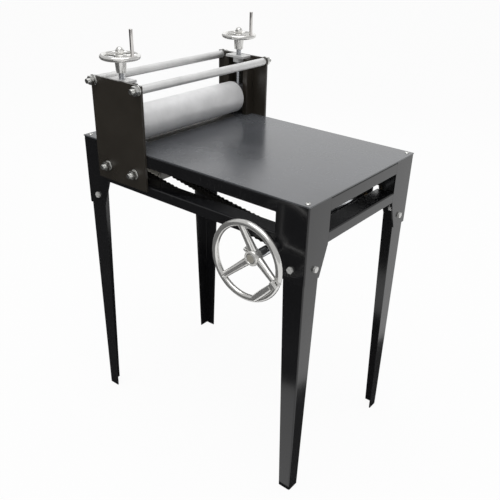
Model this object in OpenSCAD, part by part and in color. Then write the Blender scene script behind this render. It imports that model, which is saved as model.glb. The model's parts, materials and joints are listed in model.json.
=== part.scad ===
// Hand cranked slab roller on a sheet steel stand.
// X runs along the feed, Y from the crank side to the back, Z up from the floor.
// Everything is laid out from the stand's front left corner on the floor, and in_frame() then
// moves that corner so that the origin lies on the floor under the middle of the machine's box.

/* [Table] */
// Length of the table along the feed
table_l = 660; // [620:1:760]
// Width of the table from the front face to the back face
table_w = 430; // [400:1:560]
// Height of the table's top above the floor
table_h = 750; // [700:1:850]
// Thickness of the table sheet
table_t = 3; // [2:0.5:5]
// Thread diameter of the corner screws
corner_screw_d = 6; // [4:1:8]
// Distance of the corner screws from the table's edges
corner_screw_inset = 12; // [12:1:18]
// Gap between the lower roller and the edge of its slot in the table
slot_gap = 3; // [2:0.5:6]

/* [Stand] */
// Thickness of the folded sheet
sheet_t = 3; // [2:0.5:4]
// Depth of the upper rails' flange under the table
upper_flange = 26; // [24:1:34]
// Height of the lower rails
lower_rail_h = 24; // [20:1:32]
// Depth of the lower rails' flange
lower_flange = 43; // [30:1:44]
// Width of each side of a corner post
post_w = 78; // [70:1:80]
// Width of each side of a corner post at its bottom end
post_end_w = 54; // [48:1:60]
// How far the posts reach below the lower rails
post_drop = 72; // [60:1:90]
// How far the posts run on below the lower rails before they taper
post_taper_start = 4; // [2:1:10]
// Width of each side of a leg at its top
leg_top_w = 54; // [44:1:56]
// Width of each side of a leg at the floor
leg_foot_w = 31; // [20:1:36]
// Gap between the legs' tops and the lower rails
leg_top_gap = 6; // [4:1:12]
// Thread diameter of the leg bolts
leg_bolt_d = 8; // [6:1:10]
// Distance of the leg bolts from the corner
leg_bolt_in = 35; // [30:1:38]
// Height of the leg bolts above the posts' bottom ends
leg_bolt_rise = 27; // [20:1:36]

/* [Side plates] */
// Distance of the rollers' axis plane from the table's roller end
roller_x = 137; // [135:1:160]
// Width of the side plates
plate_w = 163; // [156:1:190]
// Thickness of the side plates
plate_t = 6; // [6:1:10]
// How far the side plates stand above the table
plate_rise = 151; // [145:1:180]
// How far the side plates lap over the lower rails
plate_lap = 12; // [6:1:18]
// Outer diameter of the tie tubes
tie_tube_d = 19; // [18:0.5:24]
// Wall of the tie tubes
tie_tube_wall = 2.5; // [1.5:0.5:3]
// Distance of the tie tubes' axes from the plate's edges
tie_inset = 10; // [10:0.5:14]
// Thread diameter of the tie rods and the bearing bolts
stud_d = 12; // [10:1:12]
// How far a threaded end stands out of its nut
stud_end = 9; // [4:1:14]

/* [Lower roller and drive] */
// Diameter of the lower roller
lower_d = 108; // [100:1:116]
// Wall of the lower roller's tube
lower_wall = 6; // [4:0.5:10]
// How far the lower roller's crown stands above the table
lower_crown = 0; // [0:0.1:1]
// Diameter of the drive shaft and of the lower axle
shaft_d = 20; // [18:0.5:22]
// Wall of the plain bushes
bush_wall = 4; // [3:0.5:5]
// Height of the lower bearings' housings
bearing_h = 44; // [40:1:50]
// Distance between the two bolts of a lower bearing
bearing_bolt_distance = 90; // [84:1:94]
// Thickness of the lower bearings' flanges
bearing_flange_t = 10; // [8:1:12]
// Depth of the lower bearings' bosses
bearing_boss_l = 26; // [22:1:28]
// Gap between the lower bearings and the rails
bearing_gap = 1; // [0.5:0.5:3]
// Distance of the chain's middle from the front face
chain_y = 56; // [55:0.5:60]
// Links in the chain
chain_links = 78; // [74:2:80]
// Teeth on each sprocket
teeth = 10; // [10:2:12]
// Gap between the drive shaft and the lower rails above it
shaft_gap = 10; // [6:1:12]

/* [Crank handwheel] */
// Outer diameter of the handwheel
wheel_d = 175; // [160:1:190]
// Thickness of the handwheel's rim
rim_d = 14; // [12:1:16]
// Distance of the hub's outer face from the front face of the stand
hub_face_out = 53; // [48:1:70]
// How far the middle of the rim lies in front of the hub's face
wheel_dish = 13; // [8:1:18]
// Diameter of the handwheel's hub
hub_d = 34; // [30:1:36]
// Length of the handwheel's hub
hub_l = 20; // [20:1:26]
// Diameter of the collar on the drive shaft
collar_d = 28; // [26:1:28]
// Length of the folding handle
handle_l = 66; // [56:1:70]
// Largest diameter of the folding handle
handle_d = 16; // [14:1:18]

/* [Upper roller] */
// Diameter of the upper roller
upper_d = 80; // [76:1:90]
// Wall of the upper roller's tube
upper_wall = 6; // [4:0.5:10]
// Gap between the rollers as photographed
roller_gap = 5.5; // [5:0.5:12]
// Distance of both rollers' far ends from the frame's faces
roller_inset = 38; // [36:1:46]
// Diameter of the upper roller's journals
journal_d = 25; // [20:1:28]
// Width of the bearing blocks
block_w = 50; // [46:1:58]
// Depth of the bearing blocks
block_d = 28; // [26:1:32]
// Height of the bearing blocks
block_h = 60; // [54:1:64]
// Width of the guide bars
guide_w = 14; // [10:1:18]

/* [Height screws] */
// Diameter of the pressure screws
screw_d = 14; // [12:1:16]
// Width of the bridge plates
bridge_w = 58; // [56:1:80]
// Depth of the bridge plates
bridge_d = 32; // [30:1:40]
// Thickness of the bridge plates
bridge_t = 6; // [5:1:8]
// Length of screw that shows between the bridge plate and the hub
screw_shown = 14; // [10:1:30]
// Outer diameter of the small handwheels
small_wheel_d = 90; // [80:1:100]
// Thickness of the small handwheels' rims
small_rim_d = 11; // [10:1:13]
// Height of the small handwheels' hubs
small_hub_h = 38; // [32:1:44]
// Diameter of the upright handle rods
rod_d = 8; // [6:1:9]
// How far the handle rods stand above the rim's middle
rod_rise = 61; // [45:1:80]

/* [Hidden] */
$fn = 64;

// Clearances
fit = 0.02;
run = 0.05;
slide = 0.15;
thread_gap = 0.1;
bolt_gap = 0.5;
axial = 0.3;

// How far a cutting shape runs past the surface it cuts
cut = 1;

// Fastener proportions, as multiples of the thread diameter
head_af = 1.6;
head_t = 0.65;
nut_t = 0.8;
washer_r = 1;
washer_t = 2.5;
button_r = 0.9;
button_t = 0.5;
button_top = 0.6;
bolt_end = 2;

// Levels
sheet_top = table_h - table_t;
lower_z = table_h + lower_crown - lower_d / 2;
rail_bottom = lower_z + bearing_h / 2 + bearing_gap;
upper_rail_h = sheet_top - rail_bottom;
lower_rail_top = lower_z - bearing_h / 2 - bearing_gap;
lower_rail_z = lower_rail_top - lower_rail_h;
post_z = lower_rail_z - post_drop;
leg_top = lower_rail_z - leg_top_gap;
leg_bolt_z = post_z + leg_bolt_rise;
plate_top = table_h + plate_rise;
plate_z = lower_rail_top - plate_lap;
tie_z = plate_top - tie_inset;
tie_dx = plate_w / 2 - tie_inset;
upper_z = table_h + lower_crown + roller_gap + upper_d / 2;
bridge_z = plate_top - bridge_t;

// Chain of half inch pitch, and its sprockets
pitch = 12.7;
run_links = (chain_links - teeth) / 2;
chain_slack = 0.1;
centre_distance = run_links * pitch - chain_slack;
pitch_r = pitch / 2 / sin(180 / teeth);
link_roller_d = 8.5;
inner_w = 7.8;
plate_thick = 1.5;
inner_plate_h = 11.8;
outer_plate_h = 10.6;
pin_d = 4.4;
link_gap = 0.2;
pin_end = 1;
plate_waist = 0.72;
tooth_w = 7;
tooth_gap_r = link_roller_d / 2 + 0.35;
tooth_rise = 2.4;
tooth_flare = 3;
tooth_blend = 0.1;
sprocket_hub_r = pitch_r * cos(180 / teeth) - inner_plate_h / 2 - 1;
sprocket_hub_l = 8;

// Drive shaft
drive_z = lower_rail_z - shaft_gap - shaft_d / 2;
drive_drop = lower_z - drive_z;
drive_x = roller_x + sqrt(centre_distance * centre_distance - drive_drop * drive_drop);
chain_slope = atan2(-drive_drop, drive_x - roller_x);

// The lower run is taut, which turns the drive sprocket on by slack_turn, and the upper run sags:
// its links turn by sag_step from one to the next, along the chord between its two end pins
slack_turn = asin(chain_slack / pitch_r);
run_start = on_circle(roller_x, lower_z, chain_slope + 90);
run_end = on_circle(drive_x, drive_z, chain_slope + 90 + slack_turn);
run_slope = atan2(run_end[1] - run_start[1], run_end[0] - run_start[0]);
sag_rad = sqrt(24 * (1 - norm(run_end - run_start) / (run_links * pitch)) / (run_links * run_links - 1));
sag_step = sag_rad * 180 / PI;

// Bearings of both shafts
bush_d = shaft_d + 2 * bush_wall;
bush_lip = 1;
boss_wall = 6;
boss_d = bush_d + 2 * boss_wall;
bearing_end_in = 4;
post_to_bolt = roller_x - bearing_bolt_distance / 2 - post_w;
bearing_end_r = min(bearing_h / 2 - bearing_end_in, post_to_bolt - bearing_gap);
hanger_t = 9;
hanger_in = 1;
hanger_y = lower_flange - hanger_t - hanger_in;
shaft_tail = 6;
hub_to_roller = 2;
lower_face_y = chain_y + tooth_w / 2 + sprocket_hub_l + hub_to_roller;
lower_end_y = table_w - max(roller_inset, lower_flange + hub_to_roller);

// Handwheel
rim_y = -hub_face_out - wheel_dish;
rim_r = (wheel_d - rim_d) / 2;
hub_back_y = hub_l - hub_face_out;
collar_l = 14;
collar_y = hanger_y - bush_lip - axial - collar_l;
spokes = 3;
spoke_turn = 102;
spoke_rim_in = 0.5;
spoke_hub_d = 19;
spoke_rim_d = rim_d - spoke_rim_in;
spoke_root_r = 6;
spoke_root_share = 0.75;
spoke_root_back = spoke_root_share * hub_l;
handle_turn = -43.5;
handle_in = 70;
pivot_back = 42;
handle_rim_gap = 0.5;
handle_out = rim_d / 2 + handle_rim_gap + handle_d / 2;
handle_y = rim_y - handle_out;
grip_root = 0.8;
grip_belly = 0.2;
grip_arc = 150;
tang_t = 8;
tang_r = 5;
tang_l = 10;
grip_l = handle_l - tang_l + cut;
ear_r = tang_r + 0.5;
ear_t = 3;
lug_gap = 1;
handle_pin_d = 6;
lock_turn = 146;
lock_y = hub_l / 2 - hub_face_out;
lock_d = 6;
lock_knob_d = 12;
lock_knob_l = 7;
lock_reach = 3;

// Upper roller, blocks and height screws
bush_outer_d = journal_d + 2 * bush_wall;
disc_t = 10;
axle_end_gap = 2;
block_y = axial;
screw_y = block_y + block_d / 2;
socket_floor = 1.5;
socket_l = block_h / 2 - bush_outer_d / 2 - socket_floor;
guide_short = 2;
guide_d = block_d - guide_short;
screw_low_z = upper_z + block_h / 2 - socket_l + axial;
small_hub_z = plate_top + screw_shown;
small_rim_r = (small_wheel_d - small_rim_d) / 2;
small_rim_drop = 4;
small_rim_z = small_hub_z + small_hub_h - small_rim_drop;
small_spoke_turn = 60;
rod_low_z = small_rim_z - small_rim_d / 4;
small_hub_top_d = 28;
small_hub_low_d = 22;
small_spoke_d = 8;
cap_d = 20;
cap_h = 10;
cap_dome = 0.86;
cap_dome_z = cap_h - 2;
screw_high_z = small_hub_z + small_hub_h + cap_dome_z;
bridge_nut_wall = 6;
bridge_nut_af = screw_d + 2 * bridge_nut_wall;
bridge_nut_h = 12;

// Middle of the machine's box across the stand
stud_reach = plate_t + washer_t + nut_t * stud_d + stud_end;
front_reach = handle_y - handle_d / 2;
back_reach = max(stud_reach, small_wheel_d / 2 - screw_y);
frame_y = (front_reach + table_w + back_reach) / 2;

// Moves the stand's corner so that the origin is under the middle of the machine
module in_frame() {
    translate([-table_l / 2, -frame_y, 0]) children();
}

// Mirrors a front piece to the back of the stand
module to_back() {
    translate([0, table_w, 0]) mirror([0, 1, 0]) children();
}

// Mirrors a left piece to the right of the stand
module to_right() {
    translate([table_l, 0, 0]) mirror([1, 0, 0]) children();
}

// Draws a piece at the front and again at the back
module front_and_back() {
    children();
    to_back() children();
}

// Draws a piece at all four corners
module at_corners() {
    front_and_back() {
        children();
        to_right() children();
    }
}

// Block given by its low and high corners
module box(low, high) {
    translate(low) cube(high - low);
}

// Flat outline in X and Z, as thick as the distance from y0 to y1
module across(y0, y1) {
    translate([0, y1, 0]) rotate([90, 0, 0]) linear_extrude(y1 - y0) children();
}

// Round bar along Y
module bar_y(d, y0, y1, fn = 64) {
    translate([0, y0, 0]) rotate([-90, 0, 0]) cylinder(d = d, h = y1 - y0, $fn = fn);
}

// Round tube along Y
module tube_y(d, bore, y0, y1) {
    difference() {
        bar_y(d, y0, y1);
        bar_y(bore, y0 - cut, y1 + cut);
    }
}

// Hexagon along Y, given across its flats
module hex_y(af, y0, y1) {
    bar_y(af / cos(30), y0, y1, 6);
}

// Angle section along X, with its flange at the top
module angle_x(length, height, flange) {
    rotate([90, 0, 90]) linear_extrude(length) polygon([
        [0, 0], [sheet_t, 0], [sheet_t, height - sheet_t],
        [flange, height - sheet_t], [flange, height], [0, height]]);
}

// Angle section along Y, with its flange at the top
module angle_y(length, height, flange) {
    mirror([1, -1, 0]) angle_x(length, height, flange);
}

// Holes for the corner screws
module corner_holes(d) {
    at_corners() translate([corner_screw_inset, corner_screw_inset, sheet_top - 2 * sheet_t])
        cylinder(d = d, h = table_t + 3 * sheet_t);
}

// Table sheet with the slot that the lower roller shows through
module table_top() color("dimgray") in_frame() {
    depth = lower_d / 2 - lower_crown - table_t;
    slot_half = sqrt(pow(lower_d / 2, 2) - depth * depth) + slot_gap;
    difference() {
        box([0, 0, sheet_top], [table_l, table_w, table_h]);
        box([roller_x - slot_half, lower_face_y - slot_gap, sheet_top - cut],
            [roller_x + slot_half, lower_end_y + slot_gap, table_h + cut]);
        corner_holes(corner_screw_d + bolt_gap);
    }
}

// Button head screws that hold the table sheet on the upper rails
module table_screws() color("silver") in_frame() {
    at_corners() translate([corner_screw_inset, corner_screw_inset, 0]) {
        translate([0, 0, table_h]) cylinder(r1 = button_r * corner_screw_d,
            r2 = button_top * button_r * corner_screw_d, h = button_t * corner_screw_d);
        translate([0, 0, sheet_top - sheet_t])
            cylinder(d = corner_screw_d, h = table_t + sheet_t + cut);
    }
}

// Long upper rail: its flange runs on to the corners, under the corner screws
module long_upper_rail() {
    difference() {
        union() {
            translate([post_w, 0, rail_bottom])
                angle_x(table_l - 2 * post_w, upper_rail_h, upper_flange);
            box([sheet_t, sheet_t, sheet_top - sheet_t],
                [table_l - sheet_t, upper_flange, sheet_top]);
        }
        corner_holes(corner_screw_d + fit);
    }
}

module front_upper_rail() color("#17181b") in_frame() long_upper_rail();
module back_upper_rail() color("#17181b") in_frame() to_back() long_upper_rail();

// Short upper rail between two posts
module short_upper_rail() {
    translate([0, post_w, rail_bottom]) angle_y(table_w - 2 * post_w, upper_rail_h, upper_flange);
}

module left_upper_rail() color("#17181b") in_frame() short_upper_rail();
module right_upper_rail() color("#17181b") in_frame() to_right() short_upper_rail();

// Long lower rail, which the shaft hangers are welded under
module long_lower_rail() {
    translate([post_w, 0, lower_rail_z]) angle_x(table_l - 2 * post_w, lower_rail_h, lower_flange);
}

module front_lower_rail() color("#17181b") in_frame() long_lower_rail();
module back_lower_rail() color("#17181b") in_frame() to_back() long_lower_rail();

// Short lower rail between two posts
module short_lower_rail() {
    translate([0, post_w, lower_rail_z]) angle_y(table_w - 2 * post_w, lower_rail_h, lower_flange);
}

module left_lower_rail() color("#17181b") in_frame() short_lower_rail();
module right_lower_rail() color("#17181b") in_frame() to_right() short_lower_rail();

// Holes for the two bolts of one leg
module leg_bolt_holes() {
    hole_d = leg_bolt_d + bolt_gap;
    translate([leg_bolt_in, 0, leg_bolt_z]) bar_y(hole_d, -cut, 2 * sheet_t + cut);
    mirror([1, -1, 0]) translate([leg_bolt_in, 0, leg_bolt_z])
        bar_y(hole_d, -cut, 2 * sheet_t + cut);
}

// One side of a corner post
module post_side() {
    across(0, sheet_t) polygon([[0, post_z], [post_end_w, post_z],
        [post_w, lower_rail_z - post_taper_start], [post_w, sheet_top], [0, sheet_top]]);
}

// Corner post folded from sheet
module corner_post() {
    difference() {
        union() {
            post_side();
            mirror([1, -1, 0]) post_side();
        }
        leg_bolt_holes();
    }
}

module front_left_post() color("#17181b") in_frame() corner_post();
module front_right_post() color("#17181b") in_frame() to_right() corner_post();
module back_left_post() color("#17181b") in_frame() to_back() corner_post();
module back_right_post() color("#17181b") in_frame() to_back() to_right() corner_post();

// One side of a leg, inside the post
module leg_side() {
    across(sheet_t, 2 * sheet_t) polygon([[sheet_t, 0], [sheet_t + leg_foot_w, 0],
        [sheet_t + leg_top_w, leg_top], [sheet_t, leg_top]]);
}

// Tapered leg folded from sheet
module leg() {
    difference() {
        union() {
            leg_side();
            mirror([1, -1, 0]) leg_side();
        }
        leg_bolt_holes();
    }
}

module front_left_leg() color("#17181b") in_frame() leg();
module front_right_leg() color("#17181b") in_frame() to_right() leg();
module back_left_leg() color("#17181b") in_frame() to_back() leg();
module back_right_leg() color("#17181b") in_frame() to_back() to_right() leg();

// Hexagon bolt through one side of a post and its leg
module leg_bolt() {
    translate([leg_bolt_in, 0, leg_bolt_z]) {
        hex_y(head_af * leg_bolt_d, -head_t * leg_bolt_d, 0);
        bar_y(leg_bolt_d, -head_t * leg_bolt_d / 2, 2 * sheet_t + nut_t * leg_bolt_d + bolt_end);
    }
}

// Both bolts of every leg
module leg_bolts() color("silver") in_frame() at_corners() {
    leg_bolt();
    mirror([1, -1, 0]) leg_bolt();
}

// Nut inside the leg
module leg_nut() {
    seat = 2 * sheet_t;
    translate([leg_bolt_in, 0, leg_bolt_z]) difference() {
        hex_y(head_af * leg_bolt_d, seat, seat + nut_t * leg_bolt_d);
        bar_y(leg_bolt_d + fit, seat - cut, seat + nut_t * leg_bolt_d + cut);
    }
}

// Both nuts of every leg
module leg_nuts() color("silver") in_frame() at_corners() {
    leg_nut();
    mirror([1, -1, 0]) leg_nut();
}

// Places of the tie rods on a side plate
module at_ties() {
    for (dx = [-tie_dx, tie_dx]) translate([roller_x + dx, 0, tie_z]) children();
}

// Places of the lower bearings' bolts on a side plate
module at_bearing_bolts() {
    for (dx = [-0.5, 0.5]) translate([roller_x + dx * bearing_bolt_distance, 0, lower_z]) children();
}

// Side plate on the outside of the rails
module side_plate() {
    difference() {
        box([roller_x - plate_w / 2, -plate_t, plate_z], [roller_x + plate_w / 2, 0, plate_top]);
        at_ties() bar_y(stud_d + bolt_gap, -plate_t - cut, cut);
        at_bearing_bolts() bar_y(stud_d + bolt_gap, -plate_t - cut, cut);
    }
}

module front_side_plate() color("#24221f") in_frame() side_plate();
module back_side_plate() color("#24221f") in_frame() to_back() side_plate();

// Spacer tubes between the side plates
module tie_tubes() color("lightgray") in_frame()
    at_ties() tube_y(tie_tube_d, tie_tube_d - 2 * tie_tube_wall, 0, table_w);

// Threaded rods through the tie tubes
module tie_rods() color("silver") in_frame()
    at_ties() bar_y(stud_d, -stud_reach, table_w + stud_reach);

// Places of the nuts on the outside of both side plates
module at_plate_nuts() {
    front_and_back() {
        at_ties() children();
        at_bearing_bolts() children();
    }
}

// Nuts on the tie rods and the bearing bolts
module plate_nuts() color("silver") in_frame() at_plate_nuts() {
    seat = -plate_t - washer_t;
    difference() {
        hex_y(head_af * stud_d, seat - nut_t * stud_d, seat);
        bar_y(stud_d + fit, seat - nut_t * stud_d - cut, seat + cut);
    }
}

// Washers between those nuts and the side plates
module plate_washers() color("silver") in_frame() at_plate_nuts()
    tube_y(2 * washer_r * stud_d, stud_d + bolt_gap, -plate_t - washer_t, -plate_t);

// Bridge plate that carries a pressure screw
module bridge() {
    difference() {
        box([roller_x - bridge_w / 2, 0, bridge_z], [roller_x + bridge_w / 2, bridge_d, plate_top]);
        translate([roller_x, screw_y, bridge_z - cut])
            cylinder(d = screw_d + 2 * thread_gap, h = bridge_t + 2 * cut);
    }
}

module front_bridge() color("#8f9092") in_frame() bridge();
module back_bridge() color("#8f9092") in_frame() to_back() bridge();

// Threaded nuts welded under the bridge plates
module bridge_nuts() color("#a9a9a6") in_frame() front_and_back()
    translate([roller_x, screw_y, bridge_z - bridge_nut_h]) difference() {
        cylinder(d = bridge_nut_af / cos(30), h = bridge_nut_h, $fn = 6);
        translate([0, 0, -cut])
            cylinder(d = screw_d + 2 * thread_gap, h = bridge_nut_h + 2 * cut);
    }

// Upright bars that guide the bearing blocks
module guide_bars() color("#1d1d1f") in_frame() front_and_back() for (side = [0, 1]) {
    near = block_w / 2 + slide;
    x0 = side == 0 ? roller_x - near - guide_w : roller_x + near;
    box([x0, 0, table_h], [x0 + guide_w, guide_d, bridge_z]);
}

// Flange of a lower bearing: a round middle that runs straight into two smaller ends
module bearing_flange() {
    end_x = bearing_bolt_distance / 2;
    lean = asin((bearing_h / 2 - bearing_end_r) / end_x);
    mid = bearing_h / 2 * [sin(lean), cos(lean)];
    tip = [end_x, 0] + bearing_end_r * [sin(lean), cos(lean)];
    circle(d = bearing_h);
    for (side = [-1, 1]) translate([side * end_x, 0]) circle(r = bearing_end_r);
    polygon([tip, mid, [-mid[0], mid[1]], [-tip[0], tip[1]], -tip, -mid, [mid[0], -mid[1]],
        [tip[0], -tip[1]]]);
}

// Two bolt flange bearing of the lower axle, inside a side plate
module lower_bearing() {
    translate([roller_x, 0, lower_z]) difference() {
        union() {
            across(0, bearing_flange_t) bearing_flange();
            bar_y(boss_d, 0, bearing_boss_l);
        }
        bar_y(bush_d + 2 * fit, -cut, bearing_boss_l + cut);
        for (dx = [-0.5, 0.5]) translate([dx * bearing_bolt_distance, 0, 0])
            bar_y(stud_d + bolt_gap, -cut, bearing_flange_t + cut);
    }
}

module lower_bearings() color("#4b4d50") in_frame() front_and_back() lower_bearing();

// Bolts that hold the lower bearings to the side plates
module bearing_bolts() color("silver") in_frame() front_and_back() at_bearing_bolts() {
    hex_y(head_af * stud_d, bearing_flange_t, bearing_flange_t + head_t * stud_d);
    bar_y(stud_d, -stud_reach, bearing_flange_t + cut);
}

// Plate that hangs from a lower rail's flange and carries the drive shaft
module shaft_hanger() {
    translate([drive_x, 0, drive_z]) difference() {
        across(hanger_y, hanger_y + hanger_t) {
            translate([-boss_d / 2, 0])
                square([boss_d, lower_rail_top - sheet_t - drive_z]);
            circle(d = boss_d);
        }
        bar_y(bush_d + 2 * fit, hanger_y - cut, hanger_y + hanger_t + cut);
    }
}

module front_shaft_hanger() color("#17181b") in_frame() shaft_hanger();
module back_shaft_hanger() color("#17181b") in_frame() to_back() shaft_hanger();

// Plain bushes in the lower bearings and the shaft hangers
module shaft_bushes() color("#b08d57") in_frame() front_and_back() {
    bore = shaft_d + 2 * run;
    translate([roller_x, 0, lower_z]) tube_y(bush_d, bore, axle_end_gap, bearing_boss_l);
    translate([drive_x, 0, drive_z])
        tube_y(bush_d, bore, hanger_y - bush_lip, hanger_y + hanger_t + bush_lip);
}

// Point on a sprocket's pitch circle
function on_circle(x, z, turn) = [x + pitch_r * cos(turn), z + pitch_r * sin(turn)];

// Point of the sagging upper run, s links on from its start
function on_upper_run(s) =
    let (way = run_slope - (run_links - s) * sag_step / 2)
    run_start + pitch * sin(s * sag_step / 2) / sin(sag_step / 2) * [cos(way), sin(way)];

// Point of the taut lower run, s links on from the drive sprocket
function on_lower_run(s) =
    let (start = on_circle(drive_x, drive_z, chain_slope - 90 + slack_turn))
    let (end = on_circle(roller_x, lower_z, chain_slope - 90))
    start + s / run_links * (end - start);

// Point of the chain's pitch line, s links on from the lower axle's upper tangent
function chain_point(s) =
    let (up = chain_slope + 90, half = teeth / 2, step = 360 / teeth)
    s >= chain_links ? chain_point(s - chain_links)
    : s <= run_links ? on_upper_run(s)
    : s <= run_links + half ? on_circle(drive_x, drive_z, up + slack_turn - (s - run_links) * step)
    : s <= 2 * run_links + half ? on_lower_run(s - run_links - half)
    : on_circle(roller_x, lower_z, up + 180 - (s - 2 * run_links - half) * step);

// Places every second link of the chain, along its own length
module at_links(first) {
    for (i = [first : 2 : chain_links - 1]) {
        a = chain_point(i);
        b = chain_point(i + 1);
        turn = atan2(b[1] - a[1], b[0] - a[0]);
        translate([a[0], chain_y, a[1]]) rotate([0, -turn, 0]) children();
    }
}

// Waisted link plate
module link_plate(height, y0) {
    across(y0, y0 + plate_thick) {
        circle(d = height);
        translate([pitch, 0]) circle(d = height);
        translate([0, -plate_waist * height / 2]) square([pitch, plate_waist * height]);
    }
}

// Inner link: two plates joined by their rollers
module inner_link() {
    difference() {
        union() {
            link_plate(inner_plate_h, inner_w / 2);
            link_plate(inner_plate_h, -inner_w / 2 - plate_thick);
            for (dx = [0, pitch]) translate([dx, 0, 0])
                bar_y(link_roller_d, -inner_w / 2 - plate_thick / 2, inner_w / 2 + plate_thick / 2);
        }
        for (dx = [0, pitch]) translate([dx, 0, 0])
            bar_y(pin_d + 2 * thread_gap, -inner_w, inner_w);
    }
}

// Outer link: two plates joined by their pins
module outer_link() {
    low = inner_w / 2 + plate_thick + link_gap;
    link_plate(outer_plate_h, low);
    link_plate(outer_plate_h, -low - plate_thick);
    for (dx = [0, pitch]) translate([dx, 0, 0])
        bar_y(pin_d, -low - plate_thick - pin_end, low + plate_thick + pin_end);
}

// The endless chain
module chain_inner_links() color("#4a4640") in_frame() at_links(0) inner_link();
module chain_outer_links() color("#55504a") in_frame() at_links(1) outer_link();

// Sprocket in mesh with the chain
module sprocket(x, z, turn) {
    tip_r = pitch_r + tooth_rise;
    mouth = tooth_gap_r + tooth_flare;
    translate([x, 0, z]) difference() {
        union() {
            across(chain_y - tooth_w / 2, chain_y + tooth_w / 2) difference() {
                circle(r = tip_r);
                for (i = [0 : teeth - 1]) rotate(chain_slope + 90 + turn + i * 360 / teeth) {
                    translate([pitch_r, 0]) circle(r = tooth_gap_r);
                    polygon([[pitch_r, tooth_blend - tooth_gap_r], [tip_r + cut, -mouth],
                        [tip_r + cut, mouth], [pitch_r, tooth_gap_r - tooth_blend]]);
                }
            }
            bar_y(2 * sprocket_hub_r, chain_y, chain_y + tooth_w / 2 + sprocket_hub_l);
        }
        bar_y(shaft_d + 2 * fit, chain_y - tooth_w, chain_y + tooth_w + sprocket_hub_l);
    }
}

module drive_sprocket() color("#5d5e60") in_frame() sprocket(drive_x, drive_z, slack_turn);
module driven_sprocket() color("#5d5e60") in_frame() sprocket(roller_x, lower_z, 0);

// Shaft from the handwheel to the hanger at the back
module drive_shaft() color("#b9babc") in_frame()
    translate([drive_x, 0, drive_z])
        bar_y(shaft_d, -hub_face_out, table_w - hanger_y + shaft_tail);

// Places the handwheel's own pieces on the drive shaft's axis
module on_wheel(turn) {
    translate([drive_x, 0, drive_z]) rotate([0, -turn, 0]) children();
}

// Place of the folding handle's pivot: X along the handle, Z out from the wheel's axis
module at_pivot() {
    on_wheel(handle_turn) translate([handle_in, handle_y, pivot_back])
        rotate([0, 90, 0]) children();
}

// One spoke, from the hub out and forward to the rim
module spoke() {
    root_y = spoke_root_back - hub_face_out;
    reach = rim_r - spoke_root_r;
    lean = atan2(root_y - rim_y, reach);
    translate([spoke_root_r, root_y, 0]) rotate([0, 0, -lean]) rotate([0, 90, 0])
        cylinder(d1 = spoke_hub_d, d2 = spoke_rim_d, h = reach / cos(lean));
}

// Lug on the front of the rim that carries the folding handle's pin between two ears
module pivot_lug() {
    half = tang_t / 2 + axial;
    foot = ear_r + lug_gap;
    difference() {
        union() {
            for (side = [-1, 1]) translate([0, 0, side * (half + ear_t / 2)]) {
                cylinder(r = ear_r, h = ear_t, center = true);
                translate([-ear_r, 0, -ear_t / 2]) cube([2 * ear_r, foot + cut, ear_t]);
            }
            translate([-ear_r, foot, -half - ear_t])
                cube([2 * ear_r, handle_out - foot, 2 * (half + ear_t)]);
        }
        cylinder(d = handle_pin_d + fit, h = 4 * tang_t, center = true);
    }
}

// Dished three spoke handwheel
module handwheel() color("#c9c9c7") in_frame() {
    difference() {
        union() {
            translate([drive_x, rim_y, drive_z]) rotate([90, 0, 0])
                rotate_extrude() translate([rim_r, 0]) circle(d = rim_d);
            for (i = [0 : spokes - 1]) on_wheel(spoke_turn + i * 360 / spokes) spoke();
            on_wheel(0) bar_y(hub_d, -hub_face_out, hub_back_y);
            at_pivot() pivot_lug();
        }
        on_wheel(0) bar_y(shaft_d + 2 * fit, -hub_face_out - cut, hub_back_y + cut);
        on_wheel(0) bar_y(2 * rim_r, hub_back_y, hub_back_y + spoke_hub_d);
        on_wheel(lock_turn) translate([shaft_d / 2 - cut, lock_y, 0])
            rotate([0, 90, 0]) cylinder(d = lock_d + 2 * fit, h = hub_d);
    }
}

// Knob screw that locks the handwheel on its shaft
module wheel_lock_screw() color("#d0d0cf") in_frame()
    on_wheel(lock_turn) translate([0, lock_y, 0]) rotate([0, 90, 0]) {
        translate([0, 0, shaft_d / 2 + fit])
            cylinder(d = lock_d, h = (hub_d - shaft_d) / 2 + lock_reach);
        translate([0, 0, hub_d / 2 + lock_reach - cut]) cylinder(d = lock_knob_d, h = lock_knob_l);
    }

// Collar clamped on the shaft in front of the front hanger's bush
module shaft_collar() color("#8d9094") in_frame() translate([drive_x, 0, drive_z])
    tube_y(collar_d, shaft_d + 2 * fit, collar_y, collar_y + collar_l);

// Pin of the folding handle
module handle_pin() color("#b9babc") in_frame() at_pivot()
    cylinder(d = handle_pin_d, h = tang_t + 2 * axial + 2 * ear_t, center = true);

// Half outline of the turned grip, which swells in the middle
module grip_outline() {
    steps = 10;
    polygon(concat([[0, 0]],
        [for (i = [0 : steps])
            [handle_d / 2 * (grip_root + grip_belly * sin(grip_arc * i / steps)), grip_l * i / steps]],
        [[0, grip_l]]));
}

// Turned grip with a flat tang, which lies along the front of the rim when it is folded
module folding_handle() color("#cfcfcd") in_frame() at_pivot() difference() {
    union() {
        translate([tang_l - cut, 0, 0]) rotate([0, 90, 0]) rotate_extrude() grip_outline();
        cylinder(r = tang_r, h = tang_t, center = true);
        translate([0, -tang_r, -tang_t / 2]) cube([tang_l, 2 * tang_r, tang_t]);
    }
    cylinder(d = handle_pin_d + 2 * run, h = 2 * tang_t, center = true);
}

// Tube of the lower roller
module lower_roller() color("#a5a39d") in_frame() translate([roller_x, 0, lower_z])
    tube_y(lower_d, lower_d - 2 * lower_wall, lower_face_y, lower_end_y);

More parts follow.
